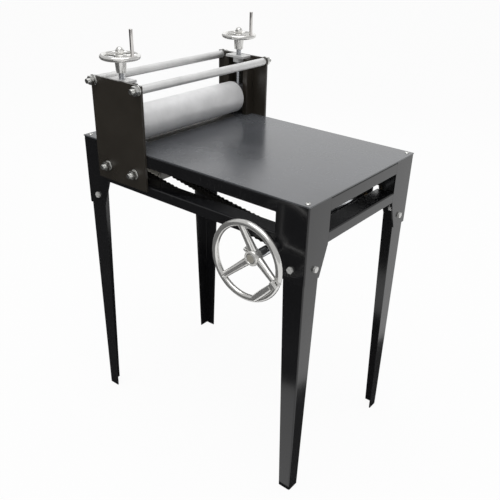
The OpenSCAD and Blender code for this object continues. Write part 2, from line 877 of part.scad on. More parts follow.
// Axle with the two discs that the lower roller's tube is welded to
module lower_axle() color("#9a9b9d") in_frame() translate([roller_x, 0, lower_z]) {
    disc_d = lower_d - 2 * lower_wall - 2 * fit;
    bar_y(shaft_d, axle_end_gap, table_w - axle_end_gap);
    bar_y(disc_d, lower_face_y, lower_face_y + disc_t);
    bar_y(disc_d, lower_end_y - disc_t, lower_end_y);
}

// Sliding block that carries one end of the upper roller
module bearing_block() {
    difference() {
        box([roller_x - block_w / 2, block_y, upper_z - block_h / 2],
            [roller_x + block_w / 2, block_y + block_d, upper_z + block_h / 2]);
        translate([roller_x, 0, upper_z])
            bar_y(bush_outer_d + 2 * fit, block_y - cut, block_y + block_d + cut);
        translate([roller_x, screw_y, upper_z + block_h / 2 - socket_l])
            cylinder(d = screw_d + 2 * thread_gap, h = socket_l + cut);
    }
}

module front_bearing_block() color("#4b4d50") in_frame() bearing_block();
module back_bearing_block() color("#4b4d50") in_frame() to_back() bearing_block();

// Plain bushes in the bearing blocks
module block_bushes() color("#b08d57") in_frame() front_and_back()
    translate([roller_x, 0, upper_z])
        tube_y(bush_outer_d, journal_d + 2 * run, block_y, block_y + block_d + bush_lip);

// Tube of the upper roller
module upper_roller() color("#b9babb") in_frame() translate([roller_x, 0, upper_z])
    tube_y(upper_d, upper_d - 2 * upper_wall, roller_inset, table_w - roller_inset);

// Axle with the two discs that the upper roller's tube is welded to
module upper_axle() color("#a9aaac") in_frame() translate([roller_x, 0, upper_z]) {
    disc_d = upper_d - 2 * upper_wall - 2 * fit;
    bar_y(journal_d, axle_end_gap, table_w - axle_end_gap);
    bar_y(disc_d, roller_inset, roller_inset + disc_t);
    bar_y(disc_d, table_w - roller_inset - disc_t, table_w - roller_inset);
}

// Pressure screw, free to turn in its block and threaded through the bridge plate
module pressure_screw() {
    translate([roller_x, screw_y, screw_low_z])
        cylinder(d = screw_d, h = screw_high_z - screw_low_z);
}

module front_pressure_screw() color("#b5b5b3") in_frame() pressure_screw();
module back_pressure_screw() color("#b5b5b3") in_frame() to_back() pressure_screw();

// Small handwheel on a pressure screw
module height_wheel() {
    translate([roller_x, screw_y, 0]) difference() {
        union() {
            translate([0, 0, small_rim_z])
                rotate_extrude() translate([small_rim_r, 0]) circle(d = small_rim_d);
            for (i = [0 : spokes - 1]) translate([0, 0, small_rim_z])
                rotate([0, 90, small_spoke_turn + i * 360 / spokes])
                    cylinder(d = small_spoke_d, h = small_rim_r);
            translate([0, 0, small_hub_z])
                cylinder(d1 = small_hub_low_d, d2 = small_hub_top_d, h = small_hub_h);
        }
        translate([0, 0, small_hub_z - cut])
            cylinder(d = screw_d + 2 * fit, h = small_hub_h + 2 * cut);
        translate([small_rim_r, 0, rod_low_z])
            cylinder(d = rod_d + 2 * fit, h = small_rim_d);
    }
}

module front_height_wheel() color("#c9c9c7") in_frame() height_wheel();
module back_height_wheel() color("#c9c9c7") in_frame() to_back() height_wheel();

// Upright rod that a small handwheel is spun by
module wheel_rod() {
    translate([roller_x + small_rim_r, screw_y, rod_low_z])
        cylinder(d = rod_d, h = small_rim_z + rod_rise - rod_low_z);
}

module front_wheel_rod() color("#6f6d6a") in_frame() wheel_rod();
module back_wheel_rod() color("#6f6d6a") in_frame() to_back() wheel_rod();

// Cap nut that holds a small handwheel on its screw
module cap_nut() {
    translate([roller_x, screw_y, small_hub_z + small_hub_h]) difference() {
        union() {
            cylinder(d = cap_d, h = cap_h, $fn = 6);
            translate([0, 0, cap_dome_z]) intersection() {
                sphere(d = cap_dome * cap_d);
                cylinder(d = cap_d, h = cap_d);
            }
        }
        translate([0, 0, -cut]) cylinder(d = screw_d + 2 * fit, h = cap_dome_z + 2 * cut);
    }
}

module front_cap_nut() color("#d0d0cf") in_frame() cap_nut();
module back_cap_nut() color("#d0d0cf") in_frame() to_back() cap_nut();

table_top();
table_screws();
front_upper_rail();
back_upper_rail();
left_upper_rail();
right_upper_rail();
front_lower_rail();
back_lower_rail();
left_lower_rail();
right_lower_rail();
front_left_post();
front_right_post();
back_left_post();
back_right_post();
front_left_leg();
front_right_leg();
back_left_leg();
back_right_leg();
leg_bolts();
leg_nuts();
front_side_plate();
back_side_plate();
tie_tubes();
tie_rods();
plate_nuts();
plate_washers();
front_bridge();
back_bridge();
bridge_nuts();
guide_bars();
lower_bearings();
bearing_bolts();
front_shaft_hanger();
back_shaft_hanger();
shaft_bushes();
chain_inner_links();
chain_outer_links();
drive_shaft();
handwheel();
wheel_lock_screw();
shaft_collar();
drive_sprocket();
handle_pin();
folding_handle();
lower_roller();
lower_axle();
driven_sprocket();
front_bearing_block();
back_bearing_block();
block_bushes();
upper_roller();
upper_axle();
front_pressure_screw();
front_height_wheel();
front_wheel_rod();
front_cap_nut();
back_pressure_screw();
back_height_wheel();
back_wheel_rod();
back_cap_nut();
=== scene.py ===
"""Looks of a hand-cranked slab roller: folded steel stand, table, rollers, chain drive and handwheels."""

import json
import math
from contextlib import contextmanager

import bmesh
import bpy
from bpy.props import FloatProperty, FloatVectorProperty, IntProperty, PointerProperty
from mathutils import Matrix, Vector

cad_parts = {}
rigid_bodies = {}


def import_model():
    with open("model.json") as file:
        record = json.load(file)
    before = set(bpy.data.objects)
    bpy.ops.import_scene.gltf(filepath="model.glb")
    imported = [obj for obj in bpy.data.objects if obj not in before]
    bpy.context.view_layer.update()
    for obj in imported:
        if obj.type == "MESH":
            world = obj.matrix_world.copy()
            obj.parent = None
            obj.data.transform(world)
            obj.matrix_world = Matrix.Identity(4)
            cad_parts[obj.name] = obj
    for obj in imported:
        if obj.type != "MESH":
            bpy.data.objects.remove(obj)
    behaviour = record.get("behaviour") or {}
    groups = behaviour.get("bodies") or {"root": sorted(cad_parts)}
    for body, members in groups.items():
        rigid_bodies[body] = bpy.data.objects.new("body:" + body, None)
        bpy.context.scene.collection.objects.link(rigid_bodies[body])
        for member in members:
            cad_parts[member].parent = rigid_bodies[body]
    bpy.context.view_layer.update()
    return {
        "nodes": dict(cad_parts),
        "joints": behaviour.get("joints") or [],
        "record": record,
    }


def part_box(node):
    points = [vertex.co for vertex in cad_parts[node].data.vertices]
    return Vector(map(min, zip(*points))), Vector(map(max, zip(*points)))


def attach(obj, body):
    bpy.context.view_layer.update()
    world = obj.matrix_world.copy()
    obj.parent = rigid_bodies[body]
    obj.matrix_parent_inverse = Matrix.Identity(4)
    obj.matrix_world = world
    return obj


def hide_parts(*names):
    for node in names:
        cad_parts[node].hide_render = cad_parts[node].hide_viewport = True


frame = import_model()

bl_info = {
    "name": "Slab Roller",
    "version": (1, 0, 0),
    "blender": (4, 5, 0),
    "location": "View3D > Sidebar > Slab Roller",
    "description": "Builds the visible pieces of a hand-cranked slab roller around its frame",
    "category": "Object",
}

MM = 0.001
TURN = 2 * math.pi
CORNER = Vector((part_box("table_top")[0].x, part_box("table_top")[0].y, 0.0))
TABLE_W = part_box("table_top")[1].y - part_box("table_top")[0].y
SHARP = math.radians(32)
FOLD = math.radians(60)
X, Y, Z = Vector((1, 0, 0)), Vector((0, 1, 0)), Vector((0, 0, 1))


def at(x, y, z):
    """Point given in millimetres from the stand's front left corner on the floor."""
    return CORNER + Vector((x, y, z)) * MM


def to_back(point):
    """The same place on the back of the stand."""
    return Vector((point.x, 2 * CORNER.y + TABLE_W - point.y, point.z))


def middle(node):
    """Centre of a node's box."""
    low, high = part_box(node)
    return (low + high) / 2


def round_bar(node, axis):
    """Start, length and radius of the round bar along Y or Z that fills a node's box."""
    low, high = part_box(node)
    span = (high - low).dot(axis)
    return (low + high - axis * span) / 2, span, (high.x - low.x) / 2


# Node trees


def operation(kind, swapped=False):
    """Method of a value that adds one Math node."""

    def apply(value, *others):
        terms = (value, *others)
        return value.math(kind, *(terms[::-1] if swapped else terms))

    return apply


class Value:
    """A socket that takes part in arithmetic: every operation adds a Math node to its tree."""

    def __init__(self, tree, socket):
        self.tree, self.socket = tree, socket

    def math(self, kind, *terms):
        return self.tree.add("ShaderNodeMath", {"operation": kind}, dict(enumerate(terms)))

    __add__ = __radd__ = operation("ADD")
    __sub__ = operation("SUBTRACT")
    __rsub__ = operation("SUBTRACT", swapped=True)
    __mul__ = __rmul__ = operation("MULTIPLY")
    __truediv__ = operation("DIVIDE")
    __rtruediv__ = operation("DIVIDE", swapped=True)
    least = operation("MINIMUM")
    most = operation("MAXIMUM")
    size = operation("ABSOLUTE")
    sign = operation("SIGN")
    root = operation("SQRT")
    part = operation("FRACT")


class Tree:
    """Adds nodes to one node tree and links them."""

    def __init__(self, tree):
        self.tree = tree

    def add(self, kind, settings=None, inputs=None, out=0):
        """One node of a kind: its settings come first, then the values or links of its sockets."""
        node = self.tree.nodes.new(kind)
        for key, value in (settings or {}).items():
            setattr(node, key, value)
        for key, value in (inputs or {}).items():
            socket = node.inputs[key]
            for term in value if isinstance(value, list) else [value]:
                if isinstance(term, Value):
                    self.tree.links.new(term.socket, socket)
                else:
                    socket.default_value = term
        return Value(self, node.outputs[out]) if node.outputs else node


class Finish(Tree):
    """A procedural material on Object coordinates."""

    def __init__(self, name):
        self.material = bpy.data.materials.new(name)
        self.material.use_nodes = True
        super().__init__(self.material.node_tree)
        self.tree.nodes.clear()
        self.place = self.add("ShaderNodeTexCoord", out=3)

    def stretched(self, x, y, z):
        return self.add("ShaderNodeMapping", inputs={0: self.place, 3: (x, y, z)})

    def noise(self, scale, detail=3.0, rough=0.55, place=None):
        inputs = {"Vector": place or self.place, "Scale": scale, "Detail": detail, "Roughness": rough}
        return self.add("ShaderNodeTexNoise", inputs=inputs)

    def span(self, value, low, high, to_low=0.0, to_high=1.0):
        inputs = {0: value, 1: low, 2: high, 3: to_low, 4: to_high}
        return self.add("ShaderNodeMapRange", {"clamp": True}, inputs)

    def mix(self, share, first, second):
        full = [c if isinstance(c, Value) else (*c[:3], 1.0) for c in (first, second)]
        inputs = {0: share, 6: full[0], 7: full[1]}
        return self.add("ShaderNodeMix", {"data_type": "RGBA"}, inputs, out=2)

    def worn(self):
        """Mask of the eased edges, broken up by noise."""
        edge = self.add("ShaderNodeAttribute", {"attribute_name": "edge"}, out=2)
        return edge * self.span(self.noise(90.0), 0.46, 0.62)

    def bump(self, height, depth, strength=1.0):
        inputs = {"Strength": strength, "Distance": depth, "Height": height}
        return self.add("ShaderNodeBump", inputs=inputs)

    def end(self, colour, rough, metal, normal=None, **fixed):
        inputs = {"Base Color": colour, "Roughness": rough, "Metallic": metal}
        if normal is not None:
            inputs["Normal"] = normal
        for key, value in fixed.items():
            inputs[key.replace("_", " ")] = value
        shader = self.add("ShaderNodeBsdfPrincipled", inputs=inputs)
        self.add("ShaderNodeOutputMaterial", inputs={"Surface": shader})
        return self.material


def shade(colour, factor):
    return tuple(c * factor for c in colour[:3])


def paint(name, colour, rough, peel, coat, scuff):
    """Sprayed paint: orange peel, faint clouds, dust, scuffs and dull worn edges."""
    f = Finish(name)
    cloud = f.noise(7.0)
    fleck = f.span(f.noise(420.0, 2.0), 0.68, 0.78)
    lines = f.noise(1.0, 2.0, 0.5, f.stretched(900.0, 60.0, 35.0))
    marks = f.span(lines, 0.66, 0.74) * f.span(f.noise(9.0), 0.5, 0.7)
    worn = f.worn()
    tone = f.mix(f.span(cloud, 0.35, 0.65), shade(colour, 0.86), shade(colour, 1.14))
    tone = f.mix(fleck * 0.05 + marks * scuff, tone, (0.20, 0.20, 0.195, 1))
    tone = f.mix(worn * 0.35, tone, (0.11, 0.11, 0.112, 1))
    dull = f.span(cloud, 0.3, 0.7, rough * 0.85, rough * 1.2) + fleck * 0.12 + marks * 0.2 + worn * 0.15
    grain = f.noise(520.0, 1.0) * peel + f.noise(38.0, 1.0) * 0.6
    normal = f.bump(grain, 0.00002, 0.35)
    return f.end(tone, dull, 0.0, normal, IOR=1.5, Coat_Weight=coat, Coat_Roughness=rough * 0.6)


def metal(name, colour, lines, rough, stain, depth=0.00004, shine=1.0, ends=None):
    """Bare or plated metal: tool lines along the least stretched axis, clouds and stains, other ends."""
    f = Finish(name)
    cloud = f.noise(24.0, 4.0)
    tooling = f.noise(1.0, 3.0, 0.65, f.stretched(*lines))
    spots = f.span(f.noise(75.0, 5.0, 0.7), 0.6, 0.75)
    worn = f.worn()
    tone = f.mix(f.span(cloud, 0.3, 0.7), shade(colour, 0.92), shade(colour, 1.06))
    tone = f.mix(spots * stain, tone, shade(colour, 0.45))
    tone = f.mix(worn * 0.4, tone, shade(colour, 1.25))
    dull = f.span(tooling, 0.3, 0.7, rough * 0.8, rough * 1.25) + spots * stain * 0.3
    # The marked ends take another colour; on the lower roller this is painted light on end faces that lie
    # in shade.
    if ends:
        end = f.add("ShaderNodeAttribute", {"attribute_name": "end"}, out=2)
        tone = f.mix(end, tone, ends)
        dull = dull + end * 0.3
        shine = shine - end * shine
    return f.end(tone, dull, shine, f.bump(tooling, depth, 0.6))


def casting(name, colour, rough):
    """Painted casting with a sand-cast skin."""
    f = Finish(name)
    sand, lump = f.noise(650.0, 3.0), f.noise(90.0, 2.0)
    worn = f.worn()
    tone = f.mix(f.span(lump, 0.3, 0.7), shade(colour, 0.8), shade(colour, 1.2))
    tone = f.mix(worn * 0.5, tone, (0.3, 0.3, 0.3, 1))
    dull = f.span(sand, 0.3, 0.7, rough * 0.85, rough * 1.15)
    return f.end(tone, dull, f.span(worn, 0, 1, 0.1, 0.7), f.bump(sand + lump, 0.0004, 0.5))


# Meshes


def smoothed(mesh):
    """Shades a mesh smooth up to its sharp edges."""
    mesh.polygons.foreach_set("use_smooth", [True] * len(mesh.polygons))
    mesh.set_sharp_from_angle(angle=SHARP)


def made(name, mesh, material):
    """Smooth object at the origin from a mesh."""
    mesh.materials.clear()
    mesh.materials.append(material)
    smoothed(mesh)
    obj = bpy.data.objects.new(name, mesh)
    bpy.context.scene.collection.objects.link(obj)
    return obj


def from_bmesh(name, bm, material):
    mesh = bpy.data.meshes.new(name)
    bm.to_mesh(mesh)
    bm.free()
    return made(name, mesh, material)


@contextmanager
def reopened(obj):
    """The mesh of a piece, opened to take more faces."""
    bm = bmesh.new()
    bm.from_mesh(obj.data)
    yield bm
    bm.to_mesh(obj.data)
    bm.free()


def placed(obj, body, slot, *nodes):
    """Puts a finished piece on its body, in place of its nodes."""
    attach(obj, body)
    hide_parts(*nodes)
    return obj


def plain_copy(node):
    """Merged copy of a node's solid with its flat faces whole."""
    bm = bmesh.new()
    bm.from_mesh(frame["nodes"][node].data)
    bmesh.ops.remove_doubles(bm, verts=bm.verts, dist=2e-6)
    bmesh.ops.dissolve_limit(bm, angle_limit=math.radians(0.4), verts=bm.verts, edges=bm.edges)
    return bm


def twice_middle(edge):
    """Sum of an edge's ends, which finds the edge again after a bevel elsewhere."""
    return edge.verts[0].co + edge.verts[1].co


def along(edge):
    return (edge.verts[1].co - edge.verts[0].co).normalized()


def hollow(edge):
    """Whether two faces meet in an inner corner."""
    return edge.is_manifold and edge.calc_face_angle_signed(0) < -FOLD


def folds(bm, thick):
    """Inner and outer edges of the bends in a folded sheet."""
    inner = [e for e in bm.edges if hollow(e) and e.calc_length() > 10 * thick]
    outer = []
    for e in bm.edges:
        if not e.is_manifold or e.calc_face_angle_signed(0) < FOLD:
            continue
        for i in inner:
            gap = i.verts[0].co - e.verts[0].co
            off = (gap - along(e) * gap.dot(along(e))).length
            if abs(along(e).dot(along(i))) > 0.999 and abs(off - thick * math.sqrt(2)) < 0.1 * thick:
                outer.append(e)
                break
    return inner, outer


def bevel(bm, edges, width, segments):
    return bmesh.ops.bevel(
        bm, geom=edges, offset=width, offset_type="OFFSET", segments=segments, profile=0.5,
        affect="EDGES", clamp_overlap=True)["faces"]


def sharp_edges(bm):
    return [e for e in bm.edges if e.is_manifold and abs(e.calc_face_angle(0)) > SHARP]


def eased(node, material, width, bend, thick):
    """Copy of a node with rounded bends and eased edges, which carry the mask of the wear."""
    bm = plain_copy(node)
    if bend:
        inner, outer = folds(bm, thick)
        places = [twice_middle(e) for e in inner]
        bevel(bm, outer, bend + thick, 5)
        found = [e for e in bm.edges if any((twice_middle(e) - p).length < thick for p in places)]
        bevel(bm, [e for e in found if hollow(e)], bend, 4)
    mask = bm.faces.layers.float.new("edge")
    for face in bevel(bm, sharp_edges(bm), width, 2):
        face[mask] = 1.0
    return flattened(from_bmesh(node + "_look", bm, material))


def flattened(obj):
    """Keeps the large faces flat where a bend or an eased edge meets them."""
    modifier = obj.modifiers.new("flat", "WEIGHTED_NORMAL")
    modifier.weight, modifier.keep_sharp = 100, True
    whole = obj.evaluated_get(bpy.context.evaluated_depsgraph_get())
    rough, obj.data = obj.data, bpy.data.meshes.new_from_object(whole)
    obj.modifiers.clear()
    bpy.data.meshes.remove(rough)
    return obj


def side_vectors(axis):
    """Two directions square to an axis."""
    first = axis.cross(X if abs(axis.x) < 0.9 else Y).normalized()
    return first, axis.cross(first).normalized()


def lathe(bm, start, axis, profile, sides=64, ridge=None):
    """Turned body: the profile gives (way along the axis, radius), and a radius of 0 closes an end."""
    axis = axis.normalized()
    u, v = side_vectors(axis)
    rings = []
    for way, radius in profile:
        centre = start + axis * way
        if radius <= 0:
            rings.append([bm.verts.new(centre)])
            continue
        ring = []
        for i in range(sides):
            turn = TURN * i / sides
            r = radius * (1 + (ridge(way, turn) if ridge else 0))
            ring.append(bm.verts.new(centre + (u * math.cos(turn) + v * math.sin(turn)) * r))
        rings.append(ring)
    for low, high in zip(rings, rings[1:]):
        for i in range(sides):
            j = (i + 1) % sides
            face = [low[i % len(low)], low[j % len(low)], high[j % len(high)], high[i % len(high)]]
            bm.faces.new(list(dict.fromkeys(face)))


def round_end(profile_end, radius, ease):
    """Points of a rounded rim at an end of a turned body."""
    way, inward = profile_end
    steps = 4
    turns = [math.pi / 2 * k / steps for k in range(steps + 1)]
    return [(way + inward * ease * (1 - math.sin(turn)), radius - ease * (1 - math.cos(turn)))
            for turn in turns]


def bar_profile(length, radius, ease):
    """Profile of a round bar with eased ends."""
    head = round_end((0.0, 1), radius, ease)
    tail = round_end((length, -1), radius, ease)
    return [(0.0, 0.0)] + head[::-1] + tail + [(length, 0.0)]


def tube_profile(length, outer, inner, ease):
    """Profile of a tube, whose ends are closed by a ring; the first and last point meet."""
    head = round_end((0.0, 1), outer, ease)
    tail = round_end((length, -1), outer, ease)
    bore = [(length, inner + ease), (length - ease, inner), (ease, inner), (0.0, inner + ease)]
    ring = head[::-1] + tail + bore
    return ring + ring[:1]


def joined(bm):
    bmesh.ops.remove_doubles(bm, verts=bm.verts, dist=1e-6)
    bmesh.ops.recalc_face_normals(bm, faces=bm.faces)
    return bm


def merged(bm, part):
    """Adds a part to a mesh once its own faces look outward."""
    mesh = bpy.data.meshes.new("part")
    joined(part).to_mesh(mesh)
    part.free()
    bm.from_mesh(mesh)
    bpy.data.meshes.remove(mesh)


def turned(name, material, bodies, sides=64):
    """One piece from one or more turned bodies, each a start, an axis and a profile."""
    bm = bmesh.new()
    for start, axis, profile in bodies:
        part = bmesh.new()
        lathe(part, start, axis, profile, sides)
        merged(bm, part)
    return from_bmesh(name, bm, material)


def millimetres(profile):
    """A profile whose numbers are given in millimetres."""
    return [(way * MM, radius * MM) for way, radius in profile]


def ends_marked(obj, axis=None, reach=0.0):
    """Marks the flat ends of a body turned about Y, within reach of an axis, for its finish."""
    mask = obj.data.attributes.new("end", "FLOAT", "FACE")
    for face, item in zip(obj.data.polygons, mask.data):
        flat = abs(face.normal.y) > 0.9
        near = axis is None or math.hypot(face.center.x - axis.x, face.center.z - axis.z) < reach
        item.value = 1.0 if flat and near else 0.0
    return obj


# Repeated pieces, as geometry nodes


class Shape(Tree):
    """A geometry tree with named inputs for its sizes, which ends in real mesh with a material."""

    def __init__(self, name, sizes):
        tree = bpy.data.node_groups.new(name, "GeometryNodeTree")
        super().__init__(tree)
        face = tree.interface
        face.new_socket("Geometry", in_out="INPUT", socket_type="NodeSocketGeometry")
        self.ids = {}
        for size in sizes:
            socket = face.new_socket(size, in_out="INPUT", socket_type="NodeSocketFloat")
            self.ids[size] = socket.identifier
        self.finish = face.new_socket("Finish", in_out="INPUT", socket_type="NodeSocketMaterial").identifier
        face.new_socket("Geometry", in_out="OUTPUT", socket_type="NodeSocketGeometry")
        self.entry = tree.nodes.new("NodeGroupInput")
        self.exit = tree.nodes.new("NodeGroupOutput")
        self.given = [Value(self, self.entry.outputs[size]) for size in sizes]

    def cylinder(self, radius, depth, sides, **more):
        inputs = {"Vertices": sides, "Radius": radius, "Depth": depth, **more}
        return self.add("GeometryNodeMeshCylinder", inputs=inputs)

    def bar(self, radius, depth, sides):
        """Bar along Z that stands on the origin."""
        return self.moved(self.cylinder(radius, depth, sides), depth * 0.5)

    def moved(self, mesh, z, x=0.0, y=0.0, turn=(0.0, 0.0, 0.0)):
        shift = self.add("ShaderNodeCombineXYZ", inputs={0: x, 1: y, 2: z})
        inputs = {"Geometry": mesh, "Translation": shift, "Rotation": turn}
        return self.add("GeometryNodeTransform", inputs=inputs)

    def place(self):
        """The three coordinates of a point."""
        place = self.add("GeometryNodeInputPosition")
        return [self.add("ShaderNodeSeparateXYZ", inputs={0: place}, out=i) for i in range(3)]

    def shifted(self, mesh, x, y, z):
        """The mesh with its points at other coordinates."""
        place = self.add("ShaderNodeCombineXYZ", inputs={0: x, 1: y, 2: z})
        return self.add("GeometryNodeSetPosition", inputs={"Geometry": mesh, "Position": place})

    def cut(self, kind, first, second):
        inputs = {0: first, 1: second} if kind == "DIFFERENCE" else {1: [first, second]}
        return self.add("GeometryNodeMeshBoolean", {"operation": kind, "solver": "EXACT"}, inputs)

    def hexagon(self, flats, height):
        """Hexagon on the origin with a turned chamfer round its far face."""
        prism = self.bar(flats / math.sqrt(3), height, 6)
        top = flats * 0.478
        inputs = {"Vertices": 48, "Radius Top": top, "Radius Bottom": top + height * math.sqrt(3),
                  "Depth": height}
        return self.cut("INTERSECT", prism, self.add("GeometryNodeMeshCone", inputs=inputs))

    def thread(self, width, lead, length):
        """Threaded bar along Z on the origin, with a blunt far end."""
        bar = self.cylinder(1.0, length, 28, **{"Side Segments": length / lead * 6})
        mesh = self.moved(bar, length * 0.5)
        x, y, z = self.place()
        turn = x.math("ARCTAN2", y, x) / TURN
        wave = ((z / lead - turn).part() * 2 - 1).size()
        radius = width * 0.5 - lead * 0.55 * (wave * 1.4 - 0.2).least(1.0).most(0.0)
        blunt = ((z - length) / lead + 0.6).most(0.0) * lead * 0.9
        reach = (x * x + y * y).root().least(1.0)
        radius = (radius - blunt) * reach
        return self.shifted(mesh, x * radius, y * radius, z)

    def joint(self, *parts):
        return self.add("GeometryNodeJoinGeometry", inputs={0: list(parts)})

    def fact(self, name, kind="FLOAT"):
        """What every point carries under a name."""
        return self.add("GeometryNodeInputNamedAttribute", {"data_type": kind}, {0: name})

    def spread(self, shape, turn=None, pick=None):
        """The shape on every point, turned to the point's aim unless a turn is given."""
        if turn is None:
            aim = self.fact("aim", "FLOAT_VECTOR")
            turn = self.add("FunctionNodeAlignRotationToVector", {"axis": "Z"}, {"Vector": aim})
        points = Value(self, self.entry.outputs["Geometry"])
        inputs = {"Points": points, "Instance": shape, "Rotation": turn}
        if pick is not None:
            inputs["Selection"] = pick
        return self.add("GeometryNodeInstanceOnPoints", inputs=inputs)

    def close(self, *spreads):
        whole = self.add("GeometryNodeRealizeInstances", inputs={0: self.joint(*spreads)})
        finish = Value(self, self.entry.outputs["Finish"])
        done = self.add("GeometryNodeSetMaterial", inputs={"Geometry": whole, "Material": finish})
        self.tree.links.new(done.socket, self.exit.inputs[0])
        return self


def grown(name, shape, material, points, attributes, **sizes):
    """Runs a geometry tree on points and keeps the result as a plain mesh."""
    seeds = bpy.data.meshes.new(name + "_points")
    seeds.from_pydata([tuple(p) for p in points], [], [])
    for key, (kind, values) in attributes.items():
        layer = seeds.attributes.new(key, kind, "POINT")
        field = "vector" if kind == "FLOAT_VECTOR" else "value"
        for item, value in zip(layer.data, values):
            setattr(item, field, value)
    seed = bpy.data.objects.new(name + "_seed", seeds)
    bpy.context.scene.collection.objects.link(seed)
    modifier = seed.modifiers.new("shape", "NODES")
    modifier.node_group = shape.tree
    modifier[shape.finish] = material
    for key, value in sizes.items():
        modifier[shape.ids[key]] = value
    whole = seed.evaluated_get(bpy.context.evaluated_depsgraph_get())
    mesh = bpy.data.meshes.new_from_object(whole)
    seed.modifiers.clear()
    bpy.data.objects.remove(seed)
    if not mesh.polygons:
        raise RuntimeError(name + " came out empty")
    mesh.name = name
    return made(name, mesh, material)


def aimed(pairs):
    """Points and their aims, as the geometry trees take them."""
    return [p for p, _ in pairs], {"aim": ("FLOAT_VECTOR", [tuple(a) for _, a in pairs])}


def nut_shape():
    s = Shape("hexagon_nut", ["flats", "height", "bore"])
    flats, height, bore = s.given
    hole = s.moved(s.bar(bore * 0.5, height * 2, 40), height * -0.5)
    return s.close(s.spread(s.cut("DIFFERENCE", s.hexagon(flats, height), hole)))


def washer_shape():
    s = Shape("flat_washer", ["outer", "bore", "height"])
    outer, bore, height = s.given
    path = s.add("GeometryNodeCurvePrimitiveCircle", {"mode": "RADIUS"},
                 {"Resolution": 48, "Radius": (outer + bore) * 0.25})
    section = s.add("GeometryNodeCurvePrimitiveQuadrilateral",
                    inputs={"Width": (outer - bore) * 0.5, "Height": height})
    section = s.add("GeometryNodeFilletCurve", {"mode": "POLY"},
                    {"Curve": section, "Count": 3, "Radius": height * 0.22})
    ring = s.add("GeometryNodeCurveToMesh", inputs={"Curve": path, "Profile Curve": section})
    return s.close(s.spread(s.moved(ring, height * 0.5)))


def bolt_shape():
    """Hexagon bolt: its head lies on the points and its thread runs along the aim."""
    s = Shape("hexagon_bolt", ["flats", "head", "width", "length", "threaded", "lead"])
    flats, head, width, reach, threaded, lead = s.given
    plain = reach - threaded
    top = s.moved(s.hexagon(flats, head), 0.0, turn=(math.pi, 0.0, 0.0))
    thread = s.moved(s.thread(width, lead, threaded), plain)
    return s.close(s.spread(s.joint(top, s.bar(width * 0.5, plain, 32), thread)))


def stud_shape():
    """Threaded end of a rod, with its blunt tip along the aim."""
    s = Shape("threaded_end", ["width", "threaded", "lead"])
    width, threaded, lead = s.given
    return s.close(s.spread(s.thread(width, lead, threaded)))


def button_shape():
    """Low domed screw head with a hexagon socket, and its shank."""
    s = Shape("button_screw", ["head", "height", "width", "length"])
    head, height, width, reach = s.given
    half = head * 0.5
    dome = s.add("GeometryNodeMeshUVSphere", inputs={"Segments": 32, "Rings": 24, "Radius": 1.0})
    scale = s.add("ShaderNodeCombineXYZ", inputs={0: half, 1: half, 2: height})
    dome = s.add("GeometryNodeTransform", inputs={"Geometry": dome, "Scale": scale})
    dome = s.cut("INTERSECT", dome, s.bar(head, height * 2, 32))
    socket = s.moved(s.bar(head * 0.22, height, 6), height * 0.45)
    shank = s.moved(s.bar(width * 0.5, reach, 24), reach * -1)
    return s.close(s.spread(s.joint(s.cut("DIFFERENCE", dome, socket), shank)))


def chain_shape():
    """Roller chain: an inner or an outer link on every point, turned along the chain."""
    sizes = ["pitch", "inner_height", "outer_height", "plate", "inside", "roller", "pin", "waist"]
    s = Shape("roller_chain", sizes)
    pitch, inner_height, outer_height, plate, inside, roller, pin, waist = s.given
    across = (math.pi / 2, 0.0, 0.0)

    def link_plates(height, side):
        disc = s.cylinder(1.0, plate, 24)
        x, y, z = s.place()
        half, end = pitch * 0.5, height * 0.5
        way = x * (half + end)
        past = (way.size() - half).most(0.0)
        share = (way.size() / half).least(1.0)
        mid = 1 - share * share
        rise = (end * end - past * past).most(0.0).root() * (1 - mid * mid * waist)
        off_axis = (y.size() * 1e6).least(1.0)
        flat = s.shifted(disc, way + half, y.sign() * rise * off_axis, z)
        return [s.moved(flat, 0.0, y=low, turn=across) for low in (side, side * -1)]

    def cross_bars(width, reach, sides):
        bar = s.moved(s.cylinder(width * 0.5, reach, sides), 0.0, turn=across)
        return [bar, s.moved(bar, 0.0, x=pitch)]

    near = (inside + plate) * 0.5
    far = near + plate + 0.2 * MM
    inner = s.joint(*link_plates(inner_height, near), *cross_bars(roller, inside, 16))
    outer = s.joint(*link_plates(outer_height, far), *cross_bars(pin, far * 2 + plate + 2 * MM, 10))
    turn = s.add("ShaderNodeCombineXYZ", inputs={1: s.fact("slope") * -1})
    kind = s.fact("kind")
    return s.close(s.spread(inner, turn, kind.math("LESS_THAN", kind, 0.5)),
                   s.spread(outer, turn, kind.math("GREATER_THAN", kind, 0.5)))


# Settings


def length(name, default, note):
    return FloatProperty(name=name, default=default, description=note, unit="LENGTH", precision=5)


def colour(name, default, note):
    return FloatVectorProperty(name=name, default=default, description=note, subtype="COLOR", min=0, max=1)


def count(name, default, note, least, most):
    return IntProperty(name=name, default=default, description=note, min=least, max=most)


def power(name, default, note):
    return FloatProperty(name=name, default=default, description=note, unit="POWER")


def strength(name, default, note):
    return FloatProperty(name=name, default=default, description=note, min=0, max=2)


